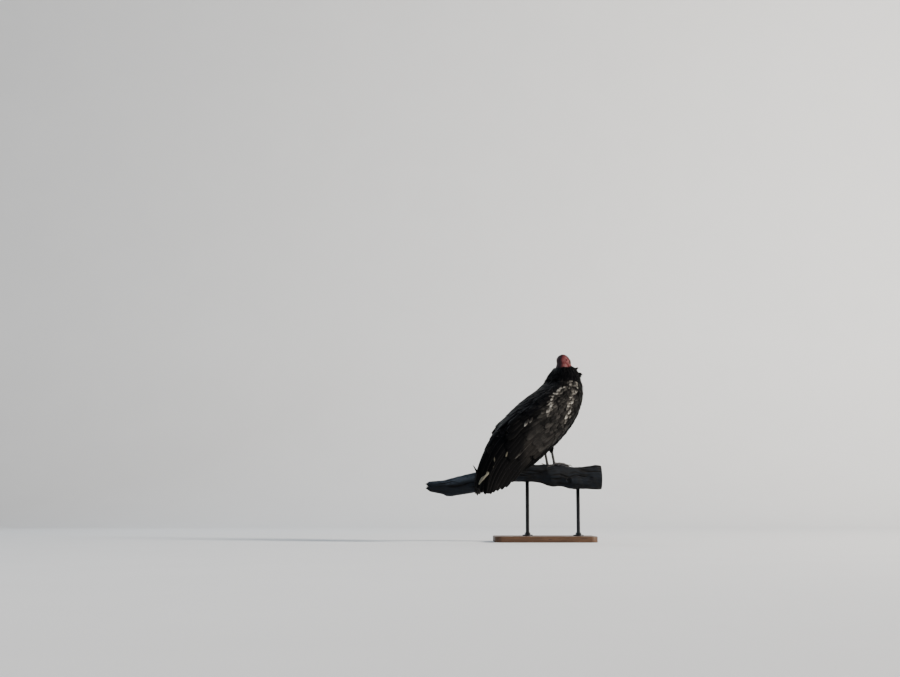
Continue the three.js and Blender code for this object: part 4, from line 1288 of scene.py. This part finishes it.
# %% The head's frame
HEAD_AT, HEAD_PITCH, HEAD_TURN = np.array([72.0, 0.0, 390.5]), np.radians(36.0), np.radians(18.0)
HEAD_LINE = [
    # x, height above, height below, half width, from the nape to the front of the cere
    (-30, 5, 5, 5),
    (-27, 13, 13, 12.5),
    (-19, 21, 20.5, 18.5),
    (-7, 25, 24, 21),
    (6, 25.5, 22.5, 20.3),
    (18, 23.5, 19, 16.6),
    (28, 18.3, 15.5, 12.2),
    (37, 13.4, 12.2, 9.5),
    (44, 10.8, 10.5, 8.4),
]
HEAD_SCALE = 1.06
EYE_AT, EYE_RADIUS = np.array([9.0, 14.4, 6.5]), 6.6
NOSTRIL_AT, NOSTRIL_HALF = (35.5, 2.2), (4.5, 2.3)
EAR_AT, EAR_HALF = (-11.0, -1.0), (2.6, 3.4)
FACE_LUMPS = [
    # height, x, z, reach along x, reach along z: the brow, the hollow before the eye, the cheek
    (1.7, 10, 15.5, 8, 3.6),
    (-1.6, 23, 3, 5, 4.5),
    (0.9, -3, -7, 8, 5),
]
LID_FOLDS = [
    # distance by the lids' shape, width, height; the last is the rim
    (6.2, 0.75, 0.75),
    (7.7, 0.6, -0.55),
    (9.2, 0.8, 0.55),
    (4.85, 0.35, 0.5),
]
# by the lids' shape: where the skin drops behind the eyeball, where it leaves the ball, and where it ends
LIDS_OPEN, LIDS_LEAVE, LIDS_END = (4.1, 4.7), (5.8, 8.6), 12.5
LID_THICK, SKIN_BEHIND = 0.75, 2.4
# millimetres from one fold to the next
CROWN_FOLD, CHEEK_FOLD, FINE_FOLD, NECK_FOLD = 3.3, 3.4, 1.7, 6.2


def turn_about(axis, angle):
    """The matrix of a turn about y or z."""
    c, s = np.cos(angle), np.sin(angle)
    if axis == "y":
        return np.array([[c, 0, s], [0, 1, 0], [-s, 0, c]])
    return np.array([[c, -s, 0], [s, c, 0], [0, 0, 1]])


HEAD_MATRIX = turn_about("z", HEAD_TURN) @ turn_about("y", HEAD_PITCH)


def from_head(p):
    """The bird's frame from the head's: x towards the bill, y to the left, z up."""
    return HEAD_AT + HEAD_SCALE * p @ HEAD_MATRIX.T


def into_head(world):
    """The head's frame, in millimetres, from metres in the frame's axes."""
    p = (world / MM - np.array([*BIRD_AT, LIMB_TOP])) @ turn_about("z", BIRD_TURN)
    return (p - HEAD_AT) @ HEAD_MATRIX / HEAD_SCALE


# %% Head and neck, fused
def head_grid():
    """The head's tube: an ellipse with its own height above and below the middle at each x."""
    t = np.linspace(0, 1, 60)
    x, above, below, half = (c[:, None] for c in smooth_rows(HEAD_LINE)(t).T)
    turn = turns(72)[None]
    rise = np.sin(turn) * np.where(np.sin(turn) > 0, above, below)
    return from_head(np.stack([x + 0 * turn, np.cos(turn) * half, rise], -1))


NECK_LINE = [(60, 0, 345), (61, 0, 358), (63.5, 0, 370), (66, 0, 386)]
neck_grid = tube(NECK_LINE, lambda t, turn: 26.5 - 5 * t, 24, 64, upward=(1, 0, 0))
fine_head = fused(shell([head_grid(), neck_grid]), 6)
print("head and neck:", len(fine_head.data.polygons), "faces")


# %% Folds, lids and cere
def eye_place(p):
    """How far a place is from the nearer eye's middle: plainly, and by the lids' wide, low shape."""
    dx, dz = p[:, 0] - EYE_AT[0], p[:, 2] - EYE_AT[2]
    return np.hypot(dx, dz), np.hypot(dx / 1.08, dz / 0.86)


def from_oval(x, z, middle, half):
    """How far (x, z) is from the middle of an oval, which is 1 on its rim."""
    return np.hypot((x - middle[0]) / half[0], (z - middle[1]) / half[1])


def head_relief(p):
    """Millimetres to move the head's skin outwards, and how deep in a crease each place lies."""
    x, y, z = p.T
    flank = ramp(np.abs(y), 6, 11)
    warp = 0.9 * ripple(p, 19, 51) + 0.35 * ripple(p, 8, 52)
    crown = ramp(z, 4, 15) * ramp(x, -34, -6) * (1 - ramp(x, 22, 32))
    nape = 1 - ramp(x, -20, -8)
    cheek = flank * (1 - ramp(z, -4, 4)) * (1 - ramp(x, 20, 30))
    throat = ramp(-z, 9, 17) * ramp(x, -12, 6)
    _, lid = eye_place(p)
    clear = ramp(lid, 7.5, 10.5)
    across = folds((x + 0.05 * y**2 / 4 + warp) / CROWN_FOLD)
    along = folds((0.9 * z + 0.45 * x + 1.2 * warp) / CHEEK_FOLD)
    level = folds((np.abs(y) + warp) / CHEEK_FOLD)
    fine = folds((0.7 * x - 0.8 * z + 1.3 * warp) / FINE_FOLD)
    depth = 0.42 * crown * across + 0.75 * nape * along + 0.38 * cheek * along + 0.6 * throat * level
    strength = np.clip(crown + nape + cheek + throat, 0, 1)
    move = (depth - 0.3 * strength + 0.16 * (fine - 0.6) * strength) * clear
    for high, middle_x, middle_z, reach_x, reach_z in FACE_LUMPS:
        move += flank * high * bump(x, middle_x, reach_x) * bump(z, middle_z, reach_z)
    ear = from_oval(x, z, EAR_AT, EAR_HALF)
    move += flank * (0.9 * bump(ear, 1.5, 0.45) - 3.4 * bump(ear, 0, 0.75))
    gape = z + 7.4 - 0.10 * (x - 30) - 0.006 * (x - 30) ** 2
    mouth = flank * ramp(x, 12, 17) * bump(gape, 0, 0.75)
    move += -1.3 * mouth + 0.5 * flank * ramp(x, 12, 17) * (bump(gape, 1.9, 0.9) + bump(gape, -1.9, 0.9))
    move += 0.7 * bump(from_oval(x, z, NOSTRIL_AT, NOSTRIL_HALF), 1.5, 0.4)
    warts = ramp(ripple(p, 3.0, 60), 0.5, 1.3) * flank * bump(lid, 9.5, 3.0) * (1 - ramp(z, 4, 9))
    move += 0.55 * warts
    valley = np.clip(across * crown + along * (nape + cheek) + (1 - strength), 0, 1)
    crease = np.clip(0.8 - 1.2 * valley, 0, 1)
    return move, np.clip(crease * strength * clear + mouth + bump(ear, 0, 0.8) * flank, 0, 1)


def with_lids(p):
    """Folds the skin round the eyes: inside the opening it drops behind the eyeball, at the rim it hugs the
    ball by the lid's thickness, and rings of folds run round that."""
    away, lid = eye_place(p)
    side = np.where(p[:, 1] < 0, -1.0, 1.0)
    out = np.abs(p[:, 1])
    near = (out > 7) & (lid < LIDS_END)
    ball = lambda radius: EYE_AT[1] + np.sqrt(np.clip(radius**2 - away**2, 0, None))
    hug = np.where(away < EYE_RADIUS + LID_THICK - 0.05, ball(EYE_RADIUS + LID_THICK), out)
    shaped = hug + (out - hug) * ramp(lid, *LIDS_LEAVE)
    for at, wide, high in LID_FOLDS:
        shaped = shaped + high * bump(lid, at, wide)
    shaped = shaped + (ball(EYE_RADIUS) - SKIN_BEHIND - shaped) * (1 - ramp(lid, *LIDS_OPEN))
    moved = p.copy()
    moved[:, 1] = np.where(near, side * shaped, p[:, 1])
    return moved


def neck_relief(p_bird):
    """Millimetres to move the neck's skin: heavy folds that run round it and wander."""
    h = p_bird[:, 2]
    warp = 1.8 * ripple(p_bird, 24, 71) + 0.8 * ripple(p_bird, 9, 72)
    return 1.5 * (folds((h + 0.35 * (p_bird[:, 0] - 60) + warp) / NECK_FOLD) - 0.55)


co, normals = three_numbers(fine_head, "co"), three_numbers(fine_head, "normal")
p = into_head(co)
p_bird = from_head(p)
in_head = ramp(-((p[:, 0] + 6) / 34) ** 2 - (p[:, 1] / 27) ** 2 - (p[:, 2] / 28.5) ** 2, -1.35, -0.98)
in_head = np.maximum(in_head, ramp(p[:, 0], 6, 14))
move, _ = head_relief(p)
move = move * in_head + neck_relief(p_bird) * (1 - in_head)
co = co + MM * move[:, None] * normals
p = into_head(co)
shaped = with_lids(p)
co = to_world(from_head(p + (shaped - p) * in_head[:, None]))
fine_head.data.vertices.foreach_set("co", co.astype(np.float32).ravel())
fine_head.data.update()

turn = turns(28)[None]
y = np.array([-20.0, 0.0, 20.0])[:, None] + 0 * turn
nostril_x = NOSTRIL_AT[0] + NOSTRIL_HALF[0] * np.cos(turn) + 0 * y
nostril_z = NOSTRIL_AT[1] + NOSTRIL_HALF[1] * np.sin(turn) + 0 * y
passage = shell([from_head(np.stack([nostril_x, y, nostril_z], -1))])
fine_head = joined(fine_head, "head_skin", "DIFFERENCE", [passage])
print("head with folds:", len(fine_head.data.polygons), "faces")


# %% Feet
TOE_PLATE, SHANK_PLATE, SHANK_LENGTH = 2.6, 4.2, 62  # millimetres
TOE_JOINTS = 3


def limb_height(u, v):
    """The height of the limb's upper side over (u, v) of the bird's frame, from its round section."""
    c, s = np.cos(BIRD_TURN), np.sin(BIRD_TURN)
    x, y = BIRD_AT[0] + c * u - s * v, BIRD_AT[1] + s * u + c * v
    middle_y, middle_z, radius = limb_across(x)
    return middle_z + np.sqrt(np.clip(radius**2 - (y - middle_y) ** 2, 25, None)) - LIMB_TOP


def toe_point(side, bearing, distance, lift):
    """A place on a toe's line over the wood."""
    bearing = side * np.radians(bearing)
    u, v = FOOT + distance * np.cos(bearing), side * SPREAD + distance * np.sin(bearing)
    return np.stack([u, v, limb_height(u, v) + lift], -1)


def toe_grid(side, bearing, length, thick):
    """A toe: swollen at its joints, plated on top with scutes, padded below."""
    t = np.linspace(0, 1, 6)
    line = toe_point(side, bearing, length * t, thick * (0.9 - 0.25 * t) + np.where(t == 0, 4, 0))

    def radius(t, turn):
        beat = t * 2 * TOE_JOINTS * np.pi
        plain = thick * (1 - 0.28 * t) * (1 + 0.1 * np.cos(beat))
        plate = (t * length / TOE_PLATE) % 1
        top, under = ramp(np.sin(turn), 0.1, 0.7), ramp(-np.sin(turn), 0.2, 0.8)
        closed = np.sqrt(np.clip(1 - ((t - 0.93) / 0.08).clip(0) ** 2, 0.03, 1))
        pads = 0.45 * under * np.cos(beat + 0.5)
        return (plain + top * 0.34 * (plate**0.6 - 0.5) + pads) * closed

    return tube(line, radius, max(24, int(length * 3)), 40)


def shank_grid(side):
    """The bare shank: flared at both ends, with broad plates down its front and net-like scales behind."""
    heel = np.array([FOOT, side * SPREAD, limb_height(FOOT, side * SPREAD) + 6])
    ankle = np.array([ANKLE[0], side * SPREAD, ANKLE[1]])
    top = ankle + (ankle - heel) * 0.12

    def radius(t, turn):
        plain = 4.7 * (1 + 0.24 * (2 * t - 1) ** 4)
        front = ramp(np.sin(turn), -0.2, 0.6)
        plate = (t * SHANK_LENGTH / SHANK_PLATE) % 1
        net = np.sin(9 * turn + 60 * t) * np.sin(5 * turn - 95 * t)
        return plain + 0.30 * front * (plate**0.5 - 0.6) + 0.14 * (1 - front) * net

    return tube([top, (ankle + heel) / 2, heel], radius, 190, 48, upward=(1, 0, 0))


feet = []
for name, side in SIDES:
    grids = [toe_grid(side, bearing, length, thick) for bearing, length, thick, _ in TOES.values()]
    feet.append(fused(shell([shank_grid(side), *grids]), 1))
    print("foot", name, len(feet[-1].data.polygons), "faces")


# %% The whole skin
# how deep the skin lies under the coat, how much deeper under the wings and the tail, and on the legs
UNDER_COAT, UNDER_WING, UNDER_TAIL, UNDER_TROUSERS = 7, 14, 18, 4.5


def trunk_grid():
    """The trunk under the coat: the envelope drawn in by the coat's depth, and more under the wings."""
    s = np.linspace(-0.06, 0.77, 70)[:, None]
    around = np.linspace(0, 360, 72, endpoint=False)[None]
    flank = ramp(np.abs(np.sin(np.radians(around))), 0.35, 0.8) * ramp(s, 0.05, 0.16)
    under_tail = ramp(np.abs(around - 180), 90, 70) * ramp(s, 0.55, 0.66)
    deep = UNDER_WING * flank + UNDER_TAIL * under_tail + 10 * ramp(s, 0.70, 0.77)
    return on_body(s, around, -UNDER_COAT - deep)


body = shell([trunk_grid()])
down, round_leg = np.linspace(0, 0.97, 24)[:, None], np.linspace(0, 360, 36, endpoint=False)[None]
thighs = [shell([on_thigh(down, round_leg, -UNDER_TROUSERS, side)]) for _, side in SIDES]
skin = joined(body, "skin", "UNION", [*thighs, *feet, fine_head])
print("skin:", len(skin.data.polygons), "faces")

# %% [markdown]
# ## The skin's colours
# Each point of the skin is told what it belongs to: the bare red head, its dark crown and nape, the pale
# lores and cere, the shanks, and how deep in a crease it lies. The finish mixes its colours by these.


# %% Regions of the skin
BARE_HEIGHTS, SHANK_HEIGHTS = (352, 358), (62, 70)  # where the coat ends below the head and over the shank
p = into_head(three_numbers(skin, "co"))
p_bird = from_head(p)
x, y, z = p.T
h = p_bird[:, 2]
_, crease = head_relief(p)
_, lid = eye_place(p)
flank = ramp(np.abs(y), 5, 10)
bare = ramp(h, *BARE_HEIGHTS) * (np.hypot(p_bird[:, 0] - 66, p_bird[:, 1]) < 75)
c, s = np.cos(HEAD_TURN), np.sin(HEAD_TURN)
behind = -(c * (p_bird[:, 0] - 62) + s * p_bird[:, 1])
nape = ramp(behind, 2, 14) * (1 - ramp(np.abs(y), 7, 16))
crown = np.maximum(ramp(z, 11, 21) * (1 - ramp(x, 10, 26)), nape)
cere = ramp(x, 24, 38)
below_eye = bump(lid, 8.5, 3.0) * (1 - ramp(z, 5, 10))
lores = flank * np.clip(below_eye + 0.7 * bump(x, 22, 6) * bump(z, 0, 7), 0, 1)
shank = 1 - ramp(h, *SHANK_HEIGHTS)
skin_values = {
    "bare": bare, "crown": crown * bare, "cere": cere * bare, "lores": lores * bare, "shank": shank,
    "crease": crease * bare, "rim": bump(lid, 5.0, 0.7) * (np.abs(y) > 8) * bare,
}
give_values(skin.data, skin_values)
skin.data.polygons.foreach_set("use_smooth", np.ones(len(skin.data.polygons), bool))

vulture_skin, add, wear = finish(
    "vulture_skin", Roughness=0.55, Specular_IOR_Level=0.25, Subsurface_Weight=0.06
)
vulture_skin.node_tree.nodes["Principled BSDF"].inputs["Subsurface Scale"].default_value = 0.003
value = lambda key: attribute(add, key)
blotch = noise(add, 190.0)
vein = noise(add, 620.0, 5.0, roughness=0.7)
pebble = cells(add, 1100.0, "F1")
scale_net = cells(add, 620.0, "DISTANCE_TO_EDGE")
face = layered(
    add, blend_rgb(add, steps(add, blotch, 0.35, 0.68), (0.080, 0.0090, 0.0120), (0.128, 0.0235, 0.0265)),
    (times(add, vein, 0.45), (0.075, 0.0075, 0.0120)),
    (times(add, value("lores"), 0.65), (0.165, 0.068, 0.070)),
    (times(add, value("cere"), 0.7), (0.20, 0.050, 0.048)),
    (times(add, value("crown"), 0.92), (0.014, 0.0065, 0.0115)),
    # painted shade in the creases, the gape and the ear opening
    (times(add, value("crease"), 0.8), (0.020, 0.004, 0.006)),
    (value("rim"), (0.045, 0.016, 0.017)),
)
# The shanks and toes carry painted shade: they are coloured the dark grey of shade, with darker scale edges
# and some lighter blotches
leg = blend_rgb(add, steps(add, scale_net, 0.0, 0.10), (0.006, 0.006, 0.007), (0.024, 0.024, 0.027))
leg = layered(add, leg, (steps(add, blotch, 0.50, 0.72), (0.034, 0.033, 0.036)))
under_coat = blend_rgb(add, blotch, (0.004, 0.004, 0.0045), (0.008, 0.0075, 0.008))
wear(Base_Color=layered(add, under_coat, (value("bare"), face), (value("shank"), leg)))
grains = math_node(add, "ADD", times(add, pebble, 0.6), vein)
wear(Normal=relief(add, grains, 0.00022, 0.7))
skin.data.materials.clear()
skin.data.materials.append(vulture_skin)
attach(skin, "root")
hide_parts("trunk", "ruff", "neck", "head", "thigh_right", "thigh_left", "foot_right", "foot_left")
print("skin regions:", {key: round(float(numbers.mean()), 3) for key, numbers in skin_values.items()})

# %% [markdown]
# Sparse black bristles grow on the crown and nape, lie backwards, and are longest just above the ruff.


# %% Bristles
def on_head(s, around, lift, side=1):
    """A place on the head's tube: s runs from the nape to the cere, and around from the top to a cheek."""
    s, around, lift, side = np.broadcast_arrays(s, around, lift, side)
    x, above, below, half = np.moveaxis(smooth_rows(HEAD_LINE)(s), -1, 0)
    a = np.radians(around)
    high = np.where(np.cos(a) > 0, above, below)
    return from_head(np.stack([x, side * np.sin(a) * (half + lift), np.cos(a) * (high + lift)], -1))


draw = np.random.default_rng(23)
n = 900
s, around = 0.60 * draw.uniform(0, 1, n) ** 0.8, draw.normal(0, 34, n)
bristles = vanes(
    on_head, pointed, 3, 2, s, around, length=draw.uniform(2.5, 4.6, n) * (1.3 - 0.8 * s), half=0.15,
    heading=180 + draw.normal(0, 14, n), root=-0.3, tip=draw.uniform(0.5, 1.6, n), camber=0.05, roll=0.0,
    thick=0.18, tone=draw.uniform(0, 0.5, n),
)
plumage("head_bristles", [bristles], mantle_black, "plumage")

# %% [markdown]
# ## Eyes, bill and claws
# An eye is a ball with a bulge over its iris, turned about the line of sight. Each point knows its angle
# from that line, which gives the pupil, the iris and the dark surround. The bill's two horns and the claws
# are tubes along bent lines, in worn ivory and in black horn.


# %% Eyes
IRIS_BULGE = 0.55
PUPIL_EDGE, IRIS_EDGE = (15.0, 17.5), (33.0, 38.0)  # degrees from the line of sight


def eye_grid(side):
    """Rings about the line of sight: the eye's radius, and the bulge more than that over the iris."""
    angle = np.linspace(0.02, np.pi - 0.02, 60)[:, None]
    turn = turns(64)[None]
    radius = EYE_RADIUS + IRIS_BULGE * (1 - ramp(np.degrees(angle), 20, 42))
    sight = np.array([0.22, side * 0.97, 0.04])
    sight /= np.linalg.norm(sight)
    across = np.cross(sight, (0.0, 0.0, 1.0))
    across /= np.linalg.norm(across)
    up = np.cross(across, sight)
    round_it = np.cos(turn)[..., None] * across + np.sin(turn)[..., None] * up
    centre = EYE_AT * (1, side, 1)
    outwards = np.cos(angle)[..., None] * sight + np.sin(angle)[..., None] * round_it
    return from_head(centre + radius[..., None] * outwards), np.degrees(angle) + 0 * turn


eye_finish, add, wear = finish(
    "eye", Roughness=0.12, Specular_IOR_Level=0.4, Coat_Weight=0.35, Coat_Roughness=0.03
)
angle = attribute(add, "angle")
rays = noise(add, 1500.0, 3.0)
iris = blend_rgb(add, rays, (0.040, 0.026, 0.019), (0.125, 0.088, 0.064))
colour = blend_rgb(add, steps(add, angle, *PUPIL_EDGE), (0.002, 0.002, 0.002), iris)
wear(Base_Color=blend_rgb(add, steps(add, angle, *IRIS_EDGE), colour, (0.030, 0.016, 0.014)))
for name, side in SIDES:
    grid, angles = eye_grid(side)
    angles = np.concatenate([angles.ravel(), [0.0, 180.0]])
    build(f"eyeball_{name}", *solid_tube(grid), eye_finish, "eye", [f"eye_{name}"], {"angle": angles})

# %% Bill
UPPER_HORN = [
    # x, z of the middle, half height, half width
    (44.3, 1.4, 9.0, 8.2),
    (50, 1.6, 8.6, 7.4),
    (57, 0.4, 8.0, 6.2),
    (63, -2.6, 7.0, 4.8),
    (67, -7.4, 5.0, 3.2),
    (67.4, -12.6, 2.4, 1.6),
    (66.2, -15.6, 0.8, 0.7),
]
LOWER_HORN = [(44.3, -9.0, 2.4, 7.0), (50, -9.4, 2.6, 6.0), (56, -9.8, 2.4, 4.6), (60.5, -9.8, 1.2, 2.6)]


def horn_grid(line, rings, lean, lean_from, keel):
    """Sections across a bent line, leaned over up to `lean` degrees. keel narrows the top into a ridge and
    pinches the lower edges into a cutting rim."""
    t = np.linspace(0, 1, rings)[:, None]
    x, z, high, half = (c for c in np.moveaxis(smooth_rows(line)(t[:, 0]), -1, 0)[..., None])
    turn = turns(56)[None]
    lean = np.radians(lean) * np.clip((t - lean_from) / (1 - lean_from), 0, 1)
    ridge = 1 - keel * ramp(np.sin(turn), 0.2, 1.0)
    growth = 1 + 0.006 * np.sin(95 * t + 2 * np.cos(turn))
    across = np.cos(turn) * half * ridge * growth
    rise = np.sin(turn) * high * growth
    return from_head(np.stack([x + rise * np.sin(lean), across, z + rise * np.cos(lean)], -1)), t + 0 * turn


ivory, add, wear = finish("ivory_horn", Roughness=0.33, Coat_Weight=0.15)
along = attribute(add, "along")
cloud = noise(add, 240.0)
streaks = drawn_out(add, 300.0, 300.0, 1200.0, 3.0)
root_shade = math_node(add, "SUBTRACT", 1.0, steps(add, along, 0.0, 0.22))
horn = layered(
    add, blend_rgb(add, cloud, (0.62, 0.53, 0.41), (0.78, 0.72, 0.60)),
    (times(add, streaks, 0.35), (0.42, 0.33, 0.25)),
    (times(add, root_shade, 0.7), (0.46, 0.25, 0.20)),
)
wear(Base_Color=horn, Normal=relief(add, streaks, 0.00008, 0.5))
for name, horn_shape in (
    ("upper", (UPPER_HORN, 80, 78, 0.35, 0.22)),
    ("lower", (LOWER_HORN, 40, 0, 0.0, 0.0)),
):
    grid, share = horn_grid(*horn_shape)
    share = np.concatenate([share.ravel(), [0.0, 1.0]])
    build(f"horn_{name}", *solid_tube(grid), ivory, "bill_horn", [f"bill_{name}"], {"along": share})

# %% Claws
black_horn, add, wear = finish("black_horn", Roughness=0.3)
layers = drawn_out(add, 500.0, 500.0, 900.0, 3.0)
wear(Base_Color=blend_rgb(add, layers, (0.010, 0.009, 0.008), (0.050, 0.042, 0.036)))
wear(Normal=relief(add, layers, 0.00008, 0.5))
for name, side in SIDES:
    for toe, (bearing, length, thick, claw) in TOES.items():
        t = np.linspace(-0.12, 1, 6)
        lift = thick * 0.66 + 3 * np.sin(np.pi * t.clip(0, 1)) - thick * 0.6 * t**2
        line = toe_point(side, bearing, length + claw * t, lift)

        def radius(t, turn):
            """A claw's taper to a point, narrower from side to side, with a groove below."""
            taper = thick * 0.68 * (1 - 0.93 * t**1.1)
            return taper * (1 - 0.16 * np.cos(turn) ** 2 - 0.12 * ramp(-np.sin(turn), 0.6, 1.0))

        claw_tube, replaced = solid_tube(tube(line, radius, 40, 28)), [f"claw_{toe}_{name}"]
        build(f"claw_horn_{toe}_{name}", *claw_tube, black_horn, "claw_horn", replaced)
print("eyes, horns and claws made")
